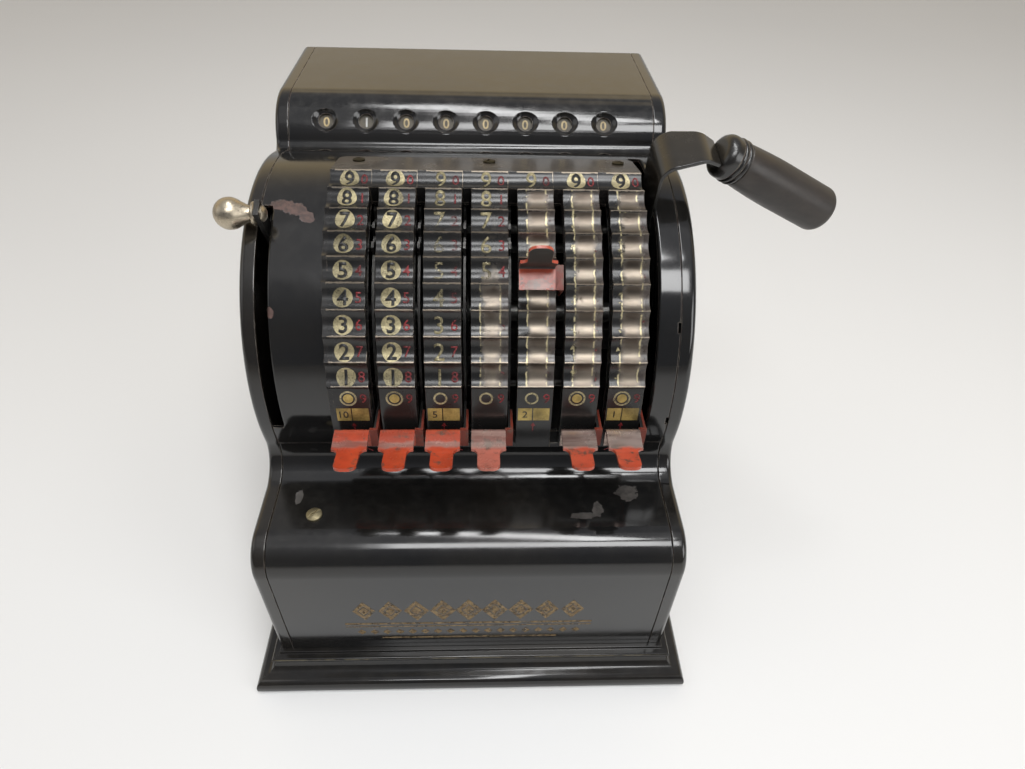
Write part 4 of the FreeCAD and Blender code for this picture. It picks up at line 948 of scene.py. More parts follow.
def finger_finish(name, wear, faded=0.0, patched=False, depth=1.0):
    """Orange-red paint, grey along the shelf's front as worn metal and a painted highlight of the bend, bare
    at rubbed edges, and patched on a raised piece. Below a depth of 1 the red is darkened into painted shade.
    """
    shade, group = Finish(name), effects()
    finger, case, paint = settings("fingers", "case", "colours")
    pale, soot = (0.40, 0.20, 0.16), (0.085, 0.05, 0.035)
    metal, tarnish = (0.46, 0.38, 0.33), (0.20, 0.15, 0.13)
    # A depth below 1 makes the copy for the side faces: its red darkened as painted shade, less rubbed and
    # duller
    beside = depth < 1
    clouds = shade.effect(group.mottle, Scale=110)["Broad"]
    rubbed = 0.15 if beside else 0.85
    edge = shade.effect(group.edge_wear, Radius=0.2 * MM, Amount=rubbed, Scale=500)["Mask"]
    _, y, z = shade.split(shade.vector("SUBTRACT", shade.place(), AXIS))
    reach = shade.math("SQRT", shade.math("POWER", y, 2) + shade.math("POWER", z, 2))
    reach = reach + (shade.noise(shade.place(), 170, 1.5) - 0.5) * (4 * MM)
    front = case.arc_radius + finger.clear + finger.gauge + finger.root
    # Bare grey metal in a band at the dip before the tongue: worn paint, and also a painted highlight of the
    # bend
    bent = 1 - shade.step(abs(reach - (front - 2.4 * MM)), 0.6 * MM, 2.4 * MM)
    shelf = 1 - shade.step(reach, front - 1.5 * MM, front + MM)
    bare = shade.most(edge, bent * (0.0 if patched or beside else 0.5))
    bare = shade.most(bare, shelf * wear)
    if patched:
        middle = column_left(finger.set_column) + 7 * MM
        centre = at_angle(front - finger.root, finger.set_turn - math.radians(2), middle)
        patch = shade.effect(group.chip, Centre=centre, Shape=(1.7, 1, 1), Size=3.2 * MM, Ragged=0.8)["Mask"]
        bare = shade.most(bare, patch * 0.75)
    grime = shade.step(shade.noise(shade.place(), 210, 5, 0.7), 0.52, 0.66) * 0.85
    red = dim(paint.finger, depth)
    colour = shade.mix(faded, shade.mix(clouds, red, dim(red, 0.72)), pale)
    colour = shade.mix(grime, colour, soot)
    streak = shade.step(shade.noise(shade.place((0.12, 1, 1)), 300), 0.35, 0.68)
    shine = 0.3 if patched else 1.0
    colour = shade.mix(bare, colour, shade.mix(streak, dim(metal, shine), dim(tarnish, shine)))
    dull = 0.45 if beside else 0.18
    return shade.coat(
        Base_Color=colour, Metallic=bare * (0.2 if patched else 0.8),
        Roughness=shade.spread(clouds, dull, dull + 0.12),
        Normal=shade.bump(clouds * 0.2 - bare, 0.02 * MM, 0.5))


def metal_finish(name, colour, roughness=0.3, tarnish=0.4, brushed=(1, 1, 1)):
    """Plain metal with tarnish clouds, worn edges and fine lines."""
    shade, group = Finish(name), effects()
    clouds = shade.effect(group.mottle, Scale=70)
    edge = shade.effect(group.edge_wear, Radius=0.6 * MM, Amount=0.45)["Mask"]
    dark, light = dim(colour, 0.32), dim(colour, 1.35)
    base = shade.mix(clouds["Broad"] * tarnish, colour, dark)
    base = shade.mix(clouds["Fine"] * (tarnish * 0.5), base, dark)
    return shade.coat(
        Base_Color=shade.mix(edge, base, light), Metallic=1,
        Roughness=shade.spread(clouds["Fine"], roughness, roughness + 0.18),
        Normal=shade.bump(shade.noise(shade.place(brushed), 900), 0.02 * MM, 0.5))


def grip_finish():
    """Dark stained wood, dull from handling, with a faint grain along the grip."""
    shade, stain, group = Finish("grip_stain"), settings("colours").grip, effects()
    handled, rubbed = (0.036, 0.031, 0.027), (0.13, 0.10, 0.08)
    clouds = shade.effect(group.mottle, Scale=40)["Broad"]
    edge = shade.effect(group.edge_wear, Radius=1.5 * MM, Amount=0.4)["Mask"]
    grain = shade.noise(shade.place((0.25, 1, 0.5)), 420, 5, 0.7)
    colour = shade.mix(shade.step(grain, 0.35, 0.7), stain, dim(stain, 1.9))
    colour = shade.mix(clouds * 0.4, colour, handled)
    return shade.coat(
        Base_Color=shade.mix(edge, colour, rubbed), Roughness=shade.spread(clouds, 0.36, 0.5),
        Normal=shade.bump(grain, 0.05 * MM, 0.5))


# Operators

class MACHINE_OT_base(bpy.types.Operator):
    """Build the mitred base moulding"""
    bl_idname = "machine.base"
    bl_label = "Base moulding"

    def execute(self, context):
        base = settings("base")
        low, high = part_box("base_frame")
        span = high - low
        at_inset, at_height = base.foot_round, 0.0
        foot = (span.x - 2 * at_inset, span.y - 2 * at_inset, 1)
        piece = add(bpy.ops.mesh.primitive_plane_add, foot, size=1)
        piece.name = "base_moulding"
        with editing(piece):
            for inset, height in self.section(base, high.z):
                bpy.ops.mesh.extrude_region_move(TRANSFORM_OT_translate={"value": (0, 0, height - at_height)})
                bpy.ops.transform.resize(
                    value=((span.x - 2 * inset) / (span.x - 2 * at_inset),
                           (span.y - 2 * inset) / (span.y - 2 * at_inset), 1),
                    center_override=(0, 0, height))
                at_inset, at_height = inset, height
            bpy.ops.mesh.delete(type="ONLY_FACE")
        with picked(piece, "FACE", lambda spot: spot.length < MM):
            bpy.ops.mesh.delete(type="ONLY_FACE")
        with picked(piece, "EDGE", lambda spot: spot.z < HAIR):
            bpy.ops.mesh.bridge_edge_loops()
            bpy.ops.mesh.select_all(action="SELECT")
            bpy.ops.mesh.normals_make_consistent(inside=False)
        smooth(round_edges(piece, 0.5 * MM, 2, 50), 50)
        finish(piece, base_finish(), "case", "base_black", "base_frame")
        return {"FINISHED"}

    @staticmethod
    def section(base, top):
        """Insets and heights of the moulding, from its foot edge over nose, cove and bead to the well."""
        for share in shares(6):
            around = share * math.pi / 2
            yield base.foot_round * (1 - math.sin(around)), base.foot_round * (1 - math.cos(around))
        yield 0.0, base.edge
        for share in shares(6):
            around = share * base.nose_turn
            nose = base.nose_round * (1 - math.cos(around)), base.edge + base.nose_round * math.sin(around)
            yield nose
        for share in shares(6):
            around = share * math.pi / 2
            yield (nose[0] + (base.cove_inset - nose[0]) * math.sin(around),
                   nose[1] + (base.bead_foot - nose[1]) * (1 - math.cos(around)))
        bead = base.bead_foot + base.bead_round
        for share in shares(12)[:-1]:
            around = share * math.pi
            yield (base.cove_inset - base.bead_round * math.sin(around),
                   bead - base.bead_round * math.cos(around))
        yield base.cove_inset, bead + base.bead_round
        yield base.overhang, bead + base.bead_round
        yield base.overhang, top
        yield base.wall, top
        yield base.wall, 0.0


class MACHINE_OT_sides(bpy.types.Operator):
    """Build the two side panels with their rounded rims"""
    bl_idname = "machine.sides"
    bl_label = "Side panels"

    def execute(self, context):
        case = settings("case")
        material = japan_finish("japan_sides", wear=0.62, brown=0.9)
        for side, x, inward in (("left", CASE_LEFT, 1), ("right", CASE_RIGHT, -1)):
            pen = CaseOutline(case, x).draw("side_cover_" + side, "back_foot", "front_foot").close()
            panel = pen.across((inward * case.rim_band, 0, 0))
            inner = x + inward * case.rim_band
            for away in (lambda spot: spot.x - inner, lambda spot: spot.z - CASE_FOOT):
                with picked(panel, "FACE", lambda spot: abs(away(spot)) < HAIR):
                    bpy.ops.mesh.delete(type="ONLY_FACE")
            round_edges(panel, case.rim_round, 5, 50)
            face_out(panel, Vector((inner, AXIS.y, AXIS.z)))
            thicken(panel, case.side_sheet)
            smooth(round_edges(panel, case.edge_round, 2, 60))
            finish(panel, material, "case", "japan_black", "side_panel_" + side)
        return {"FINISHED"}


class MACHINE_OT_covers(bpy.types.Operator):
    """Build the round front, the lower front and the back cover"""
    bl_idname = "machine.covers"
    bl_label = "Covers"

    # Chips: place across, place along the ledge or front angle, shape and size, in millimetres and degrees
    LEDGE_CHIPS = (
        (-77.5, -90.5, (0.55, 1.3, 1), 3.4), (50.5, -102.0, (1.6, 0.6, 1), 3.6),
        (56.5, -98.5, (0.9, 1.5, 1), 3.0), (71.5, -89.3, (1.3, 1.1, 1), 4.4))
    FRONT_CHIPS = (
        (-79.5, 70.2, (1.7, 1, 0.8), 3.1), (-73.5, 68.8, (1.5, 1, 1), 3.5),
        (-68.0, 65.6, (1.1, 1, 1.4), 3.1), (-81.5, 36.0, (0.7, 1, 1), 2.4))
    # Front angles of the two notches at the right edge, half their turn, their inset and width
    NOTCHES = (31.8, -1.1)
    HALF_NOTCH, NOTCH_INSET, NOTCH_WIDTH = math.radians(1.6), 1.3 * MM, 2 * MM
    # Gap beside the crank, right edge of the clear slot from the case, and reach of the cutters
    CRANK_GAP, CLEAR_RIGHT, CUT_REACH = 0.7 * MM, 11.4 * MM, 6 * MM

    def execute(self, context):
        case = settings("case")
        ledge = AXIS.z - case.ledge_drop
        on_ledge = [((x * MM, y * MM, ledge), shape, size * MM) for x, y, shape, size in self.LEDGE_CHIPS]
        on_front = [(at_angle(case.arc_radius, math.radians(degrees), x * MM), shape, size * MM)
                    for x, degrees, shape, size in self.FRONT_CHIPS]
        scuff = settings("colours").scuff
        for name, first, last, node, material in (
                ("round_cover", "arc_top", "arc_foot", "arc_panel",
                 japan_finish("japan_front", wear=0.42, chips=on_front)),
                ("lower_cover", "arc_foot", "front_foot", "lower_front_panel",
                 japan_finish("japan_lower", wear=0.3, chips=on_ledge, ground=scuff)),
                ("back_cover", "back_foot", "back_top", "rear_panel", japan_finish("japan_back", wear=0.3))):
            sheet = cover_sheet(name, first, last)
            if name == "round_cover":
                self.cut_openings(sheet)
            smooth(round_edges(sheet, case.edge_round))
            finish(sheet, material, "case", "japan_black", node)
        return {"FINISHED"}

    def cut_openings(self, front):
        """Cut slots and notches, and round the sheet along the slots of handle and clear lever."""
        case, keys = settings("case", "keys")
        within, beyond = case.arc_radius - self.CUT_REACH, case.arc_radius + self.CUT_REACH
        cut(front, lever_slots(within, beyond))
        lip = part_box("handle_crank")[0].x + self.CRANK_GAP
        clear_left, clear_right = CASE_LEFT + case.rim_band, CASE_LEFT + self.CLEAR_RIGHT
        openings = [
            (PLATE_RIGHT, lip - PLATE_RIGHT, keys.slot_foot, keys.handle_slot_end),
            (clear_left, clear_right - clear_left, keys.clear_slot_foot, keys.clear_slot_end)]
        notch_left = CASE_RIGHT - case.rim_band - self.NOTCH_INSET
        for middle in map(math.radians, self.NOTCHES):
            openings.append((
                notch_left, self.NOTCH_WIDTH, middle - self.HALF_NOTCH, middle + self.HALF_NOTCH))
        for x, width, first, last in openings:
            cut(front, arc_block(x, width, within, beyond, first, last))
        for x in (lip, clear_right):
            with picked(front, "EDGE", lambda spot: abs(spot.x - x) < HAIR
                        and abs((spot - AXIS).yz.length - case.arc_radius) < 0.05 * MM):
                bpy.ops.mesh.bevel(offset=case.lip_round, segments=5, affect="EDGES", clamp_overlap=True)


class MACHINE_OT_hood(bpy.types.Operator):
    """Build the rolled hood with its dished windows"""
    bl_idname = "machine.hood"
    bl_label = "Hood"

    def execute(self, context):
        case, register, keys = settings("case", "register", "keys")
        hood = cover_sheet("hood_cover", "back_top", "arc_top")
        outline = CaseOutline(case, window_x(1))
        sight = Vector((0, -math.cos(register.window_turn), math.sin(register.window_turn)))

        def at(out, away):
            """A point by its height over the nose and its distance from the first window's sight line."""
            return outline.nose + sight * (case.nose_radius + out) + ACROSS * away

        def row_of(pen):
            """The drawing spun about the sight line, once for each window."""
            return repeat(pen.lathe(outline.nose, sight, 40), register.wheels, (keys.pitch, 0, 0))

        throat, depth = register.window_radius, register.seat_depth
        bowl, skin, above = throat + register.window_lip, 0.7 * MM, 3 * MM
        seat = Pen("window_seat", at(-skin, 0))
        seat.line(at(-skin, bowl - 0.4 * MM), at(-depth, bowl - 1.4 * MM), at(-depth, 0))
        cut(hood, row_of(seat), "UNION")
        funnel = Pen("window_funnel", at(above, 0))
        funnel.line(at(above, bowl), at(0.05 * MM, bowl))
        for share in shares(8):
            fall = share - register.dish_soft * math.sin(share * math.tau) / math.tau
            funnel.line(at(-register.dish_depth * fall, bowl + (throat - bowl) * share))
        funnel.line(at(-2 * depth, throat), at(-2 * depth, 0))
        cut(hood, row_of(funnel))
        notch = add(
            bpy.ops.mesh.primitive_cylinder_add, (1, 0.6, 1), vertices=24, radius=register.notch_radius,
            depth=8 * MM, location=outline.points["arc_top"], rotation=(math.radians(20), 0, 0))
        cut(hood, repeat(notch, register.wheels, (keys.pitch, 0, 0)))
        smooth(round_edges(hood, 0.25 * MM, 2, 45), 32)
        finish(hood, japan_finish("japan_hood", wear=0.34, dust=0.1), "case", "japan_black", "register_hood")
        return {"FINISHED"}


class MACHINE_OT_keyboard(bpy.types.Operator):
    """Build the scalloped key plate"""
    bl_idname = "machine.keyboard"
    bl_label = "Key plate"

    def execute(self, context):
        case, keys = settings("case", "keys")
        inner, rim, ridge, zero = (
            case.arc_radius + rise for rise in (keys.seat, keys.flange_rise, keys.ridge_rise, keys.zero_rise))
        centre = Vector((PLATE_LEFT, AXIS.y, AXIS.z))

        def at(radius, angle):
            return at_angle(radius, angle, PLATE_LEFT)

        pen = Pen("key_plate", at(inner, keys.plate_foot), step=7)
        pen.arc(centre, at(inner, keys.flange_end)).line(at(rim, keys.flange_end), at(ridge, keys.top_ridge))
        for row in range(keys.rows):
            self.hollow(pen, at, keys, ridge, row)
        pen.step = 3
        last = keys.top_ridge - keys.rows * keys.row_turn - math.radians(1)
        foot = keys.plate_foot + math.radians(2)
        pen.line(at(zero, last)).arc(centre, at(zero, foot))
        pen.line(at(rim, keys.plate_foot), at(inner, keys.plate_foot))
        plate = pen.close().across((PLATE_RIGHT - PLATE_LEFT, 0, 0))
        top = at(0, 0).z + inner * math.sin(keys.flange_end) - 0.3 * MM
        back = AXIS.y - rim * math.cos(keys.flange_end) - 0.2 * MM
        for x in (PLATE_LEFT, PLATE_RIGHT):
            with picked(plate, "EDGE", lambda spot: abs(spot.x - x) < HAIR
                        and spot.z > top and spot.y > back):
                bpy.ops.mesh.bevel(offset=keys.corner_round, segments=5, affect="EDGES")
        cut(plate, lever_slots(case.arc_radius - MM, ridge + 3 * MM))
        smooth(round_edges(plate, 0.22 * MM, 2, 30), 30)
        finish(plate, key_finish(), "case", "key_enamel", "keyboard_plate")
        return {"FINISHED"}

    @staticmethod
    def hollow(pen, at, keys, ridge, row):
        """One finger hollow: a round through two ridges and the hollow's floor."""
        first = keys.top_ridge - row * keys.row_turn
        middle = first - keys.row_turn / 2
        half_chord = ridge * math.sin(keys.row_turn / 2)
        sagitta = ridge * math.cos(keys.row_turn / 2) - (ridge - keys.hollow_depth)
        radius = (half_chord ** 2 + sagitta ** 2) / (2 * sagitta)
        pen.arc(at(ridge - keys.hollow_depth + radius, middle), at(ridge, first - keys.row_turn))


def flat_figure(text, height, bold=0.0):
    """A figure of given height as a flat mesh about the origin, cut level so that it can bend."""
    bpy.ops.object.select_all(action="DESELECT")
    bpy.ops.object.text_add()
    letters = bpy.context.object.data
    letters.body = text
    letters.size = height / 0.7
    letters.offset = bold * height
    letters.resolution_u = 4
    letters.align_x = "CENTER"
    bpy.ops.object.convert(target="MESH")
    figure = bpy.context.object
    corners = [Vector(corner) for corner in figure.bound_box]
    figure.location = -(corners[0] + corners[6]) / 2
    return cut_level(apply_place(figure), height)


def cut_level(figure, height, steps=9):
    """Cut a flat mesh into level strips."""
    with editing(figure):
        for share in shares(steps)[:-1]:
            bpy.ops.mesh.select_all(action="SELECT")
            bpy.ops.mesh.bisect(plane_co=(0, height * (share - 0.5), 0), plane_no=(0, 1, 0))
    return figure


def flat_ring(outer, inner=0.0, corners=40):
    """A flat disc or ring about the origin, cut level so that it can bend."""
    ring = add(bpy.ops.mesh.primitive_circle_add, vertices=corners, radius=outer, fill_type="NGON")
    if inner:
        with editing(ring):
            bpy.ops.mesh.inset(thickness=outer - inner)
            bpy.ops.mesh.delete(type="FACE")
    return cut_level(ring, 2 * outer)


def flat_bar(width, height):
    return cut_level(add(bpy.ops.mesh.primitive_plane_add, (width, height, 1), size=1), height, 5)


def lay_on_plate(figure, angle, x, lift):
    """Lay a flat print on the key plate at a front angle, following the hollow under it."""
    figure.location = at_angle(settings("case").arc_radius + 14 * MM, angle, x)
    figure.rotation_euler.x = math.pi / 2 - angle
    bpy.context.view_layer.update()
    modify(figure, "SHRINKWRAP", target=bpy.data.objects["key_plate"], wrap_method="PROJECT",
           use_project_z=True, use_negative_direction=True, use_positive_direction=False, offset=lift)
    apply_place(figure)
    return modify(figure, "SOLIDIFY", thickness=lift * 0.5, offset=-1)


class MACHINE_OT_figures(bpy.types.Operator):
    """Print the figures, discs and labels on the key plate"""
    bl_idname = "machine.figures"
    bl_label = "Key figures"

    DISC_COLUMNS = (1, 2, 6, 7)
    LABELS = {1: "10", 3: "5", 5: "2", 7: "1"}

    def execute(self, context):
        keys, paint = settings("keys", "colours")
        finishes = {
            "gilt_discs": print_finish("gilt_disc", paint.gilt, 0.4, 0.48),
            "dark_figures": print_finish("dark_figure", paint.enamel),
            "gilt_figures": print_finish("gilt_figure", paint.gilt, 0.4, 0.55),
            "red_figures": print_finish("red_figure", paint.red_print, 0.0, 0.45),
            "gilt_labels": print_finish("gilt_label", paint.label, 0.3, 0.25),
        }
        self.sheets = {name: [] for name in finishes}
        self.every = range(1, keys.columns + 1)
        self.plain = [column for column in self.every if column not in self.DISC_COLUMNS]
        centre = keys.top_ridge - keys.rows / 2 * keys.row_turn
        for digit in range(1, keys.rows + 1):
            self.print_row(keys, digit, centre + (digit - (keys.rows + 1) / 2) * keys.figure_turn)
        self.print_zeros(keys, math.radians(11.5))
        self.print_labels(keys)
        for name, prints in self.sheets.items():
            finish(join(prints, name), finishes[name], "case", "key_enamel")
        return {"FINISHED"}

    def spread(self, keys, angle, *prints):
        """Lay flat prints on the first column and copy each to the columns that have it."""
        for sheet, figure, inset, layer, columns in prints:
            lay_on_plate(figure, angle, column_left(1) + inset, layer * keys.print_lift)
            for column in columns:
                self.sheets[sheet].append(copy_of(figure, "print", ((column - 1) * keys.pitch, 0, 0)))
            bpy.data.objects.remove(figure)

    def print_zeros(self, keys, angle):
        """Rings in place of noughts, with a dot in the columns that have discs."""
        inset = keys.figure_inset
        self.spread(
            keys, angle,
            ("gilt_figures", flat_ring(3.6 * MM, 2.8 * MM), inset, 1, self.DISC_COLUMNS),
            ("gilt_labels", flat_ring(2.1 * MM), inset, 1, self.DISC_COLUMNS),
            ("gilt_figures", flat_ring(2.9 * MM, 2.1 * MM), inset, 1, self.plain),
            ("red_figures", flat_figure("9", keys.small_height), keys.small_inset, 1, self.every))

    def print_row(self, keys, digit, angle):
        """A digit on its discs and on the plain columns, and the small figure that adds up to nine."""
        dark = flat_figure(str(digit), keys.figure_height * 0.88, 0.03)
        gilt = flat_figure(str(digit), keys.figure_height, 0.01)
        small = flat_figure(str(keys.rows - digit), keys.small_height, 0.005)
        self.spread(
            keys, angle,
            ("gilt_discs", flat_ring(keys.disc_radius), keys.figure_inset, 1, self.DISC_COLUMNS),
            ("dark_figures", dark, keys.figure_inset, 2, self.DISC_COLUMNS),
            ("gilt_figures", gilt, keys.figure_inset, 1, self.plain),
            ("red_figures", small, keys.small_inset, 1, self.every))

    def print_labels(self, keys):
        """Split gilt labels under every other column, a red arrow below each, and a red line at the foot."""
        width, tall = keys.pitch - keys.slot, 6.6 * MM
        label, arrow, tip, foot = (math.radians(degrees) for degrees in (6.0, 0.9, 1.2, -3.0))
        marks = []
        for column, text in self.LABELS.items():
            marks += [
                ("gilt_labels", column, 0.24, label, 1, flat_bar(0.40 * width, tall)),
                ("gilt_labels", column, 0.70, label, 1, flat_bar(0.46 * width, tall)),
                ("dark_figures", column, 0.24, label, 2, flat_figure(text, 3.4 * MM, 0.01)),
                ("red_figures", column, 0.48, arrow, 1, flat_bar(0.5 * MM, 4 * MM)),
                ("red_figures", column, 0.48, arrow + tip, 1, flat_ring(1.3 * MM, corners=3))]
        marks += [("red_figures", column, 0.5, foot, 1, flat_bar(width, 0.5 * MM)) for column in self.every]
        for sheet, column, share, angle, layer, figure in marks:
            lay_on_plate(figure, angle, column_left(column) + share * width, layer * keys.print_lift)
            self.sheets[sheet].append(figure)


def screw_head(name, radius, height, slot_turn):
    """A slotted, slightly domed screw head that stands on the origin."""
    pen = Pen(name, (0, 0, height), axis=(0, 1, 0), step=8)
    crown, shoulder = 0.35 * height, radius * 0.86
    dome = (radius ** 2 * 0.7 + crown ** 2) / (2 * crown)
    pen.arc((0, 0, height - dome), (shoulder, 0, height - dome + math.sqrt(dome ** 2 - shoulder ** 2)))
    pen.line((radius, 0, height * 0.5), (radius, 0, 0), (0, 0, 0))
    head = pen.lathe((0, 0, 0), (0, 0, 1), 32)
    cut(head, add(bpy.ops.mesh.primitive_cube_add, (3 * radius, 0.26 * radius, height * 0.9),
                  size=1, location=(0, 0, height), rotation=(0, 0, slot_turn)))
    return smooth(round_edges(head, 0.12 * MM))


class MACHINE_OT_screws(bpy.types.Operator):
    """Build the screw heads in the key plate's flange and in the ledge"""
    bl_idname = "machine.screws"
    bl_label = "Screws"

    # Columns of the flange screws and the turns of their slots, and the size of their heads
    FLANGE = ((1, 0.3), (4, 1.2), (7, 2.3))
    RADIUS, HEIGHT = 2.7 * MM, 1.3 * MM
    # Radius of the ledge screw's head over the width of the plain one, and the turn of its slot
    LEDGE_SHARE, LEDGE_TURN = 0.58, 0.8

    def execute(self, context):
        case, keys, paint = settings("case", "keys", "colours")
        rim = at_angle(case.arc_radius + keys.flange_rise, keys.flange_end)
        ridge = at_angle(case.arc_radius + keys.ridge_rise, keys.top_ridge)
        slope = math.atan2(rim.z - ridge.z, rim.y - ridge.y)
        seat = ridge.lerp(rim, (keys.screw_turn - keys.top_ridge) / (keys.flange_end - keys.top_ridge))
        heads = []
        for column, slot_turn in self.FLANGE:
            head = screw_head("flange_screw", self.RADIUS, self.HEIGHT, slot_turn)
            head.rotation_euler.x = slope
            head.location = (column_right(column) - (keys.pitch - keys.slot) / 2, seat.y, seat.z)
            heads.append(apply_place(head))
        dull = metal_finish("dull_brass", dim(paint.screw, 0.2), 0.34, 0.8)
        finish(join(heads, "flange_screws"), dull, "case", "screw_brass", "keyboard_screws")
        low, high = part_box("ledge_screw")
        radius = self.LEDGE_SHARE * (high.x - low.x)
        head = screw_head("ledge_screw_head", radius, high.z - low.z, self.LEDGE_TURN)
        head.location = ((low.x + high.x) / 2, (low.y + high.y) / 2, low.z)
        brass = metal_finish("ledge_brass", paint.screw, 0.48, 0.35)
        finish(apply_place(head), brass, "case", "screw_brass", "ledge_screw")
        return {"FINISHED"}


class MACHINE_OT_fingers(bpy.types.Operator):
    """Build the seven bent finger pieces"""
    bl_idname = "machine.fingers"
    bl_label = "Finger pieces"

    def execute(self, context):
        finger, keys = settings("fingers", "keys")
        pattern = self.pattern()
        # Dark japan for the faces under the tongue: painted shade under it, together with the dark brown of
        # its unpainted underside
        dark = japan_finish("finger_underside_shade", wear=0.2, gloss=0.5, brown=1.0)
        # The side strips and flanges get the red at about a third of its brightness: painted shade
        shaded = finger_finish("finger_painted_shade", 0.0, depth=0.36)
        fresh = finger_finish("finger_red", 0.08)
        faded = finger_finish("finger_faded", 0.6, 0.45)
        rubbed = finger_finish("finger_rubbed", 0.9, 0.1)
        raised = finger_finish("finger_raised", 0.0, 0.15, True)
        state = {4: faded, finger.set_column: raised, 6: rubbed, 7: rubbed}
        edge_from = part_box("finger_tab_1")[0].x + finger.shelf_width + 0.3 * MM
        # Faces that look down above the axis, under the tongue, take the dark japan of painted shade
        under = [face.normal.z < -0.3 and face.center.z > AXIS.z for face in pattern.data.polygons]
        # Faces beyond the shelf, on the side strip and flange, take the painted shade red
        beside = [face.center.x > edge_from for face in pattern.data.polygons]
        for column in range(1, keys.columns + 1):
            piece = copy_of(pattern, "finger_piece_%d" % column, ((column - 1) * keys.pitch, 0, 0))
            if column == finger.set_column:
                turn_about(piece, AXIS, finger.set_turn)
            finish(smooth(piece), state.get(column, fresh), "finger_lever_%d" % column, "finger_red",
                   "finger_tab_%d" % column)
            piece.data.materials.append(dark)
            piece.data.materials.append(shaded)
            for face, is_under, is_beside in zip(piece.data.polygons, under, beside):
                face.material_index = 1 if is_under else 2 * is_beside
        bpy.data.objects.remove(pattern)
        return {"FINISHED"}

    def pattern(self):
        """A finger piece for the first column: a sheet bent to face, shelf and tongue, and a side flange."""
        finger, case = settings("fingers", "case")
        low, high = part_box("finger_tab_1")
        left, right = low.x, high.x
        back = AXIS.y - case.arc_radius - finger.clear
        front = back - finger.gauge
        foot, head, bend = AXIS.z + finger.foot, AXIS.z + finger.head, finger.bend
        root = front - finger.root
        pen = Pen("finger_pattern", (left, back, foot), step=15)
        pen.line((left, back, head - bend))
        pen.arc((left, back - bend, head - bend), (left, back - bend, head))
        for share in shares(6):
            y = back - bend + (root - back + bend) * share
            pen.line((left, y, head - finger.dip * (1 - math.cos(share * math.pi)) / 2))
        sheet = pen.across((finger.shelf_width, 0, 0))
        self.draw_tongue(sheet, finger, left + finger.shelf_width / 2, root)
        face_out(sheet, Vector((left, root, foot)))
        thicken(sheet, finger.gauge)
        for start, end in (
                ((left + finger.shelf_width - 0.1 * MM, front, foot), (right, back, head - 0.3 * MM)),
                ((right - finger.side_gauge, back - finger.gauge / 2, foot),
                 (right, back + finger.side_reach, head - finger.gauge))):
            start, end = Vector(start), Vector(end)
            block = add(bpy.ops.mesh.primitive_cube_add, end - start, size=1, location=(start + end) / 2)
            cut(sheet, block, "UNION")
        return round_edges(sheet, 0.28 * MM)

    @staticmethod
    def draw_tongue(sheet, finger, middle, root):
        """Extrude the shelf's front edge along the tongue: hollow shoulders, straight run and rounded end."""
        half, slim, crown = finger.shelf_width / 2, finger.tongue_width / 2, finger.tongue_round
        shoulder = half - slim
        quarter = [share * math.pi / 2 for share in shares(6)]
        outline = [(shoulder * (1 - math.cos(around)), half - shoulder * math.sin(around))
                   for around in quarter]
        outline += [(finger.tongue - crown, slim)]
        outline += [(finger.tongue - crown * (1 - math.sin(around)), slim - crown * (1 - math.cos(around)))
                    for around in quarter]
        reach_at, lift_at, half_at = 0.0, 0.0, half
        with picked(sheet, "EDGE", lambda spot: spot.y < root + HAIR):
            for reach, wide in outline:
                lift = (finger.rise + finger.dip) * (reach / finger.tongue) ** 1.7
                bpy.ops.mesh.extrude_region_move(
                    TRANSFORM_OT_translate={"value": (0, reach_at - reach, lift - lift_at)})
                bpy.ops.transform.resize(value=(wide / half_at, 1, 1), center_override=(middle, 0, 0))
                reach_at, lift_at, half_at = reach, lift, wide


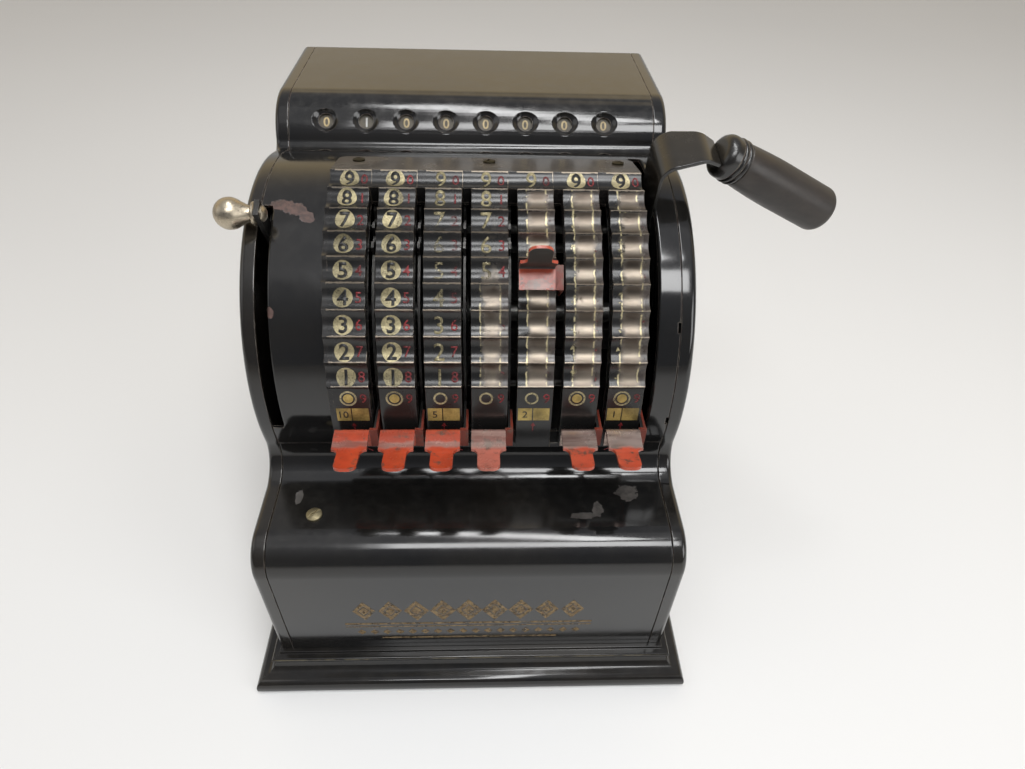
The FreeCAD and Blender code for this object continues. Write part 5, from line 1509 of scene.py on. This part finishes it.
class MACHINE_OT_handle(bpy.types.Operator):
    """Build the pull handle: strap, ferrule and grip"""
    bl_idname = "machine.handle"
    bl_label = "Pull handle"

    def execute(self, context):
        handle, case = settings("handle", "case")
        out = Vector((0, -math.cos(handle.lean), math.sin(handle.lean)))
        elbow = Vector((CASE_RIGHT + handle.elbow_out, 0, case.arc_radius + handle.elbow_rise))
        end_x = CASE_RIGHT + handle.end_out
        end = Vector((end_x, 0, elbow.z - math.tan(handle.grip_drop) * (end_x - elbow.x)))
        heading = ACROSS * math.cos(handle.grip_drop) - out * math.sin(handle.grip_drop)
        root = AXIS + ACROSS * end.x + out * end.z
        place = Matrix.Translation(root) @ ACROSS.rotation_difference(heading).to_matrix().to_4x4()
        strap = self.strap(handle, case.arc_radius + handle.rise, elbow, end)
        worn = japan_finish("japan_handle", wear=0.5, gloss=0.2, brown=1.0)
        finish(strap, worn, "handle", "handle_black", "handle_arm")
        ferrule = turned(self.ferrule(handle), place, 56)
        bared = japan_finish("japan_ferrule", wear=0.85, gloss=0.22, brown=1.0)
        finish(ferrule, bared, "handle", "handle_black", "handle_ferrule")
        grip = turned(self.grip(handle), place, 56)
        finish(grip, grip_finish(), "handle", "grip_wood", "handle_grip")
        return {"FINISHED"}

    def strap(self, handle, top, elbow, end):
        """A strap bent twice, drawn on its edge about the main axis and then leant back."""
        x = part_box("handle_crank")[0].x
        corner, shift = Vector((x, 0, top)), Vector((0, -handle.width / 2, 0))
        pen = Pen("handle_strap", (x, -handle.width / 2, -handle.tail), axis=(0, 1, 0), step=6)
        for at, after, radius in ((corner, elbow, handle.bend), (elbow, end, handle.elbow_bend)):
            self.bend(pen, at + shift, after + shift, radius)
        pen.line(end + shift)
        strap = pen.across((0, handle.width, 0))
        near = x + handle.bend
        stations = sorted({round(vertex.co.x, 7) for vertex in strap.data.vertices if vertex.co.x > near})
        for station in stations:
            share = (station - near) / (end.x - near)
            slim = 1 + (handle.end_width / handle.width - 1) * share
            with picked(strap, "VERT", lambda spot: abs(spot.x - station) < HAIR):
                bpy.ops.transform.resize(value=(1, slim, 1), center_override=(0, 0, 0))
        face_out(strap, Vector((x + 60 * MM, 0, 0)))
        thicken(strap, handle.gauge)
        if min(vertex.co.x for vertex in strap.data.vertices) < x - handle.gauge - 0.05 * MM:
            raise RuntimeError("the strap leaves its slot")
        cut(strap, add(bpy.ops.mesh.primitive_cylinder_add, vertices=32, radius=5.05 * MM, depth=8 * MM,
                       location=(x, 0, 0), rotation=(0, math.pi / 2, 0)))
        round_edges(strap, 0.55 * MM, 3, 50)
        strap.rotation_euler.x = math.pi / 2 - handle.lean
        strap.location = AXIS
        return smooth(apply_place(strap))

    @staticmethod
    def bend(pen, corner, after, radius):
        """Draw to a corner and round it."""
        before = (corner - pen.at).normalized()
        away = (after - corner).normalized()
        half = before.angle(away) / 2
        back = radius * math.tan(half)
        entry, leave = corner - before * back, corner + away * back
        centre = corner + (away - before).normalized() * (radius / math.cos(half))
        pen.line(entry)
        pen.arc(centre, leave)

    @staticmethod
    def ferrule(handle):
        """A black socket with a rounded back edge and two beads at the grip."""
        run, radius, dome = handle.ferrule_length, handle.ferrule_radius, handle.ferrule_round
        bead = 1.1 * MM
        groove = radius - 0.7 * MM
        pen = Pen("grip_ferrule", (0, 0, 0), axis=(0, 1, 0), step=15)
        pen.line((0, 0, radius - dome))
        pen.arc((dome, 0, radius - dome), (dome, 0, radius))
        pen.line((run - 4 * bead - 0.4 * MM, 0, radius), (run - 4 * bead, 0, groove))
        for middle in (run - 3 * bead, run - bead):
            pen.arc((middle, 0, groove), (middle, 0, groove + bead))
            pen.arc((middle, 0, groove), (middle + bead, 0, groove))
        return pen.line((run, 0, 0))

    @staticmethod
    def grip(handle):
        """A turned grip with a slim neck and a rounded end."""
        start, end = handle.ferrule_length, handle.ferrule_length + handle.grip_length
        belly, neck, crown = handle.grip_radius, handle.grip_neck, handle.grip_round
        chamfer, taper = 0.5 * MM, 23 * MM
        pen = Pen("turned_grip", (start, 0, 0), axis=(0, 1, 0), step=8)
        pen.line((start, 0, neck - chamfer), (start + chamfer, 0, neck))
        for share in shares(6):
            rise = math.sin(share * math.pi / 2)
            pen.line((start + chamfer + taper * share, 0, neck + (belly - neck) * rise))
        pen.line((end - crown, 0, belly))
        pen.arc((end - crown, 0, belly - crown), (end, 0, belly - crown))
        return pen.line((end + 0.25 * MM, 0, 0))


class MACHINE_OT_clear_knob(bpy.types.Operator):
    """Build the clear knob and its rivet"""
    bl_idname = "machine.clear_knob"
    bl_label = "Clear knob"

    def execute(self, context):
        knob = settings("knob")
        low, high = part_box("clear_lever")
        place = Matrix.Translation(at_angle(knob.reach, knob.rest, low.x))
        nickel = metal_finish("worn_nickel", settings("colours").nickel, 0.26, 0.3)
        for piece, node in ((turned(self.knob(knob), place, 48), "clear_knob"),
                            (turned(self.rivet(knob, high.x - low.x), place, 32), "clear_rivet")):
            finish(piece, nickel, "clear_lever", "nickel", node)
        return {"FINISHED"}

    @staticmethod
    def knob(knob):
        """A ball that runs into a neck and ends in a collar on the lever."""
        ball, middle, neck, collar = knob.ball, -knob.centre, knob.neck, knob.collar
        throat = 0.85 * ball
        waist = middle + math.sqrt(ball ** 2 - throat ** 2)
        collar_end, flare, chamfer = -knob.collar_run, 0.6 * MM, 0.4 * MM
        neck_end = collar_end - flare
        pen = Pen("pear_knob", (middle - ball, 0, 0), axis=(0, 1, 0), step=9)
        pen.arc((middle, 0, 0), (middle, 0, ball)).arc((middle, 0, 0), (waist, 0, throat))
        for share in shares(6):
            ease = 0.7 * share + 0.3 * math.sin(share * math.pi / 2)
            pen.line((waist + (neck_end - waist) * share, 0, throat + (neck - throat) * ease))
        pen.line((collar_end, 0, neck + flare), (collar_end, 0, collar - chamfer))
        pen.line((collar_end + chamfer, 0, collar), (-chamfer, 0, collar))
        return pen.line((0, 0, collar - chamfer), (0, 0, 0))

    @staticmethod
    def rivet(knob, plate):
        """A rivet through the lever's plate with a domed head behind it."""
        rivet, head = knob.rivet, knob.rivet_head
        round_from = plate + 0.3 * head
        dome = (rivet ** 2 + (0.7 * head) ** 2) / (2 * 0.7 * head)
        pen = Pen("knob_rivet", (0, 0, 0), axis=(0, 1, 0), step=10)
        pen.line((0, 0, rivet / 2), (plate, 0, rivet / 2), (plate, 0, rivet), (round_from, 0, rivet))
        return pen.arc((round_from + 0.7 * head - dome, 0, 0), (plate + head, 0, 0))


class MACHINE_OT_wheels(bpy.types.Operator):
    """Build the ten-sided number wheels and their figures"""
    bl_idname = "machine.wheels"
    bl_label = "Number wheels"

    DIGITS = 10
    SHOWN = {2: 1}

    def execute(self, context):
        register = settings("register")
        shift = Vector((window_x(1), REGISTER.y, REGISTER.z))
        wheel, figures = self.wheel(register, shift), self.figures(register, shift)
        black = self.figure_finish("wheel_black", (0.10, 0.085, 0.06))
        tan = self.figure_finish("wheel_tan", settings("colours").tan)
        white = self.figure_finish("wheel_white", (0.6, 0.6, 0.58))
        for number in range(1, register.wheels + 1):
            offset = (window_x(number) - window_x(1), 0, 0)
            body = "number_wheel_%d" % number
            shown = self.SHOWN.get(number, 0)
            for pattern, name, material, nodes in (
                    (wheel, "wheel_%d", black, [body]),
                    (figures, "wheel_figures_%d", white if shown else tan, [])):
                piece = copy_of(pattern, name % number, offset)
                turn_about(piece, REGISTER, shown * math.tau / self.DIGITS)
                finish(smooth(piece), material, body, "wheel_black", *nodes)
        bpy.data.objects.remove(wheel)
        bpy.data.objects.remove(figures)
        return {"FINISHED"}

    def wheel(self, register, shift):
        """A wheel with ten flats, one of them across the window's sight line."""
        sideways = (0, math.pi / 2, 0)
        wheel = add(bpy.ops.mesh.primitive_cylinder_add, vertices=self.DIGITS, radius=register.wheel_radius,
                    depth=register.wheel_width, rotation=sideways)
        wheel.name = "wheel_pattern"
        flat = min(math.atan2(face.center.z, -face.center.y) % (math.tau / self.DIGITS)
                   for face in wheel.data.polygons if abs(face.normal.x) < 0.5)
        turn_about(wheel, (0, 0, 0), register.window_turn - flat)
        cut(wheel, add(bpy.ops.mesh.primitive_cylinder_add, vertices=32, radius=4.05 * MM,
                       depth=2 * register.wheel_width, rotation=sideways))
        round_edges(wheel, 0.3 * MM, 2, 25)
        wheel.location = shift
        return apply_place(wheel)

    def figures(self, register, shift):
        """The ten figures, each on its flat."""
        flat = register.wheel_radius * math.cos(math.pi / self.DIGITS)
        made = []
        for digit in range(self.DIGITS):
            figure = flat_figure(str(digit), register.figure_height, 0.02)
            angle = register.window_turn - digit * math.tau / self.DIGITS
            modify(figure, "SOLIDIFY", thickness=0.12 * MM, offset=1)
            figure.rotation_euler.x = math.pi / 2 - angle
            figure.location = shift + Vector((0, -flat * math.cos(angle), flat * math.sin(angle)))
            made.append(apply_place(figure))
        return join(made, "figure_pattern")

    @staticmethod
    def figure_finish(name, colour):
        shade = Finish(name)
        clouds = shade.effect(effects().mottle, Scale=120)
        return shade.coat(Base_Color=shade.mix(clouds["Broad"], colour, dim(colour, 0.5)),
                          Roughness=shade.spread(clouds["Fine"], 0.45, 0.65))


class MACHINE_OT_ornament(bpy.types.Operator):
    """Lay a faded gilt border of lozenges and lines on the lower front"""
    bl_idname = "machine.ornament"
    bl_label = "Gilt ornament"

    # Height, width and gauge of the lines in millimetres
    LINES = ((40.6, 116, 1.5), (37.9, 116, 0.8), (27.4, 84, 1.2))

    def execute(self, context):
        front = AXIS.y - settings("case").front_reach
        marks = []
        for index in range(-4, 5):
            across, tall = 12 * MM, (9.4 - 0.35 * abs(index)) * MM
            marks.append(self.mark(tall, 0.3, index * across, 52 * MM, 0.66))
            marks.append(self.mark(0.46 * tall, 0.0, index * across, 52 * MM, 0.66))
        for index in range(-9, 9):
            marks.append(self.mark(2.3 * MM, 0.0, (index + 0.5) * 6 * MM, 33 * MM, 0.9))
        for height, width, gauge in self.LINES:
            bar = flat_bar(width * MM, gauge * MM)
            bar.location = (0, height * MM, 0)
            marks.append(apply_place(bar))
        ornament = join(marks, "gilt_ornament")
        modify(ornament, "SOLIDIFY", thickness=0.04 * MM, offset=1)
        ornament.rotation_euler.x = math.pi / 2
        ornament.location = (-1.5 * MM, front - 0.02 * MM, 0)
        finish(apply_place(ornament), ornament_finish(), "case", "japan_black")
        return {"FINISHED"}

    @staticmethod
    def mark(radius, rim, x, y, slim):
        """A lozenge, open in the middle where its rim is given as a share of its radius."""
        lozenge = flat_ring(radius, radius * (1 - rim) if rim else 0.0, 4)
        lozenge.scale = (slim, 1, 1)
        lozenge.location = (x, y, 0)
        return apply_place(lozenge)


class MACHINE_OT_mechanism(bpy.types.Operator):
    """Finish the frames, shafts, levers and gears inside the case"""
    bl_idname = "machine.mechanism"
    bl_label = "Mechanism finish"

    def execute(self, context):
        paint = settings("colours")
        steel = metal_finish("oiled_steel", paint.steel, 0.32, 0.5, (0.1, 1, 1))
        brass = metal_finish("cut_brass", paint.brass, 0.3, 0.45)
        # Levers get the steel at about a fifth of its brightness: painted shade for the levers seen down the
        # slots, together with oiled blackened steel
        worn = metal_finish("lever_steel", dim(paint.steel, 0.22), 0.4, 0.7)
        for name, node in frame["nodes"].items():
            if node.hide_render:
                continue
            if name.startswith("drive_gear") or name == "clear_pinion":
                material = brass
            elif name.startswith("sector_lever") or name == "clear_lever":
                material = worn
            else:
                material = steel
            node.data.materials.clear()
            node.data.materials.append(material)
        return {"FINISHED"}


class MACHINE_OT_stage(bpy.types.Operator):
    """Set the floor, the lights and the camera"""
    bl_idname = "machine.stage"
    bl_label = "Stage"

    # Camera place in metres, its turns in degrees, and its focal length over the picture's width
    EYE = (5.695 * MM, -287.31 * MM, 344.087 * MM)
    PITCH, YAW, ROLL = 42.534, 3.144, -2.155
    FOCAL_SHARE = 690.24 / 1025
    # Name, place, target, width, depth and power of the lamps
    LAMPS = (
        ("ceiling", (0.05, -0.33, 1.25), (0.05, -0.33, 0), 1.4, 0.85, 1.0),
        ("tube", (0.08, -0.08, 1.2), (0.05, -0.1, 0), 0.75, 0.17, 5.3),
        ("front_tube", (0.12, -0.64, 1.12), (0.1, 0, 0.15), 0.65, 0.3, 5.6),
        ("right_window", (1.15, -0.95, 0.65), (0, 0, 0.15), 0.75, 0.75, 6),
        ("left_fill", (-1.3, -0.3, 0.8), (0, 0, 0.1), 0.8, 0.8, 1.5))
    # Colours of the room: wall, its upper part, before the machine, above
    WALL, UPPER_WALL = (0.60, 0.59, 0.57), (0.96, 0.76, 0.46)
    BEFORE, ABOVE = (0.17, 0.175, 0.19), (0.36, 0.37, 0.40)

    def execute(self, context):
        self.floor(context)
        self.world(context)
        for lamp in self.LAMPS:
            self.lamp(*lamp)
        self.camera(context)
        context.scene.view_settings.view_transform = "Standard"
        return {"FINISHED"}

    @staticmethod
    def floor(context):
        bpy.ops.object.select_all(action="DESELECT")
        bpy.ops.mesh.primitive_plane_add(size=12, location=(0, 0, -0.2 * MM))
        floor = context.object
        floor.name = "pale_floor"
        shade, pale = Finish("pale_floor"), settings("colours").floor
        clouds = shade.noise(shade.place(), 3, 2)
        floor.data.materials.append(shade.coat(
            Base_Color=shade.mix(clouds, pale, dim(pale, 0.97)), Roughness=shade.spread(clouds, 0.5, 0.6)))

    def world(self, context):
        """A plain room: a pale wall behind the machine, warm higher up, dimmer before it and above."""
        world = bpy.data.worlds.new("soft_room")
        context.scene.world = world
        world.use_nodes = True
        shade = Shade(world.node_tree)
        background = world.node_tree.nodes["Background"].inputs
        _, y, z = shade.split(shade.get("TexCoord", "Generated", {}))
        wall = shade.mix(shade.step(z, 0.1, 0.42), self.WALL, self.UPPER_WALL)
        around = shade.mix(shade.step(y, -0.3, 0.6), self.BEFORE, wall)
        shade.feed(background["Color"], shade.mix(shade.step(z, 0.36, 0.85), around, self.ABOVE))
        background["Strength"].default_value = 1.0

    @staticmethod
    def lamp(name, place, target, width, depth, power):
        light = bpy.data.lights.new(name, "AREA")
        light.shape = "RECTANGLE"
        light.size, light.size_y, light.energy = width, depth, power
        lamp = bpy.data.objects.new(name, light)
        bpy.context.scene.collection.objects.link(lamp)
        lamp.location = place
        lamp.rotation_euler = (Vector(target) - Vector(place)).to_track_quat("-Z", "Y").to_euler()

    def camera(self, context):
        pitch, yaw, roll = (math.radians(angle) for angle in (self.PITCH, self.YAW, self.ROLL))
        ahead = Vector((math.sin(yaw) * math.cos(pitch), math.cos(yaw) * math.cos(pitch), -math.sin(pitch)))
        level = Vector((math.cos(yaw), -math.sin(yaw), 0))
        down = ahead.cross(level)
        right = level * math.cos(roll) + down * math.sin(roll)
        down = down * math.cos(roll) - level * math.sin(roll)
        view = bpy.data.cameras.new("photo_view")
        view.sensor_fit = "HORIZONTAL"
        view.lens = view.sensor_width * self.FOCAL_SHARE
        view.clip_start = 10 * MM
        camera = bpy.data.objects.new("photo_view", view)
        context.scene.collection.objects.link(camera)
        facing = Matrix((right, -down, -ahead)).transposed().to_4x4()
        camera.matrix_world = Matrix.Translation(self.EYE) @ facing
        context.scene.camera = camera


class MACHINE_PT_panel(bpy.types.Panel):
    """Steps of the adding machine"""
    bl_idname = "MACHINE_PT_panel"
    bl_label = "Adding Machine"
    bl_space_type = "VIEW_3D"
    bl_region_type = "UI"
    bl_category = "Machine"

    def draw(self, context):
        for step in STEPS:
            self.layout.operator(step.bl_idname)


GROUPS = {
    "machine_case": CaseSizes,
    "machine_base": BaseSizes,
    "machine_keys": KeySizes,
    "machine_register": RegisterSizes,
    "machine_fingers": FingerSizes,
    "machine_handle": HandleSizes,
    "machine_knob": KnobSizes,
    "machine_colours": FinishColours,
}

STEPS = (
    MACHINE_OT_base, MACHINE_OT_sides, MACHINE_OT_covers, MACHINE_OT_hood, MACHINE_OT_keyboard,
    MACHINE_OT_figures, MACHINE_OT_screws, MACHINE_OT_fingers, MACHINE_OT_handle, MACHINE_OT_clear_knob,
    MACHINE_OT_wheels, MACHINE_OT_ornament, MACHINE_OT_mechanism, MACHINE_OT_stage)


def register():
    for name, group in GROUPS.items():
        bpy.utils.register_class(group)
        setattr(bpy.types.Scene, name, PointerProperty(type=group))
    for step in STEPS:
        bpy.utils.register_class(step)
    bpy.utils.register_class(MACHINE_PT_panel)


def unregister():
    bpy.utils.unregister_class(MACHINE_PT_panel)
    for step in reversed(STEPS):
        bpy.utils.unregister_class(step)
    for name, group in GROUPS.items():
        delattr(bpy.types.Scene, name)
        bpy.utils.unregister_class(group)


def main():
    register()
    for step in STEPS:
        group, name = step.bl_idname.split(".")
        getattr(getattr(bpy.ops, group), name)()


if __name__ == "__main__":
    main()
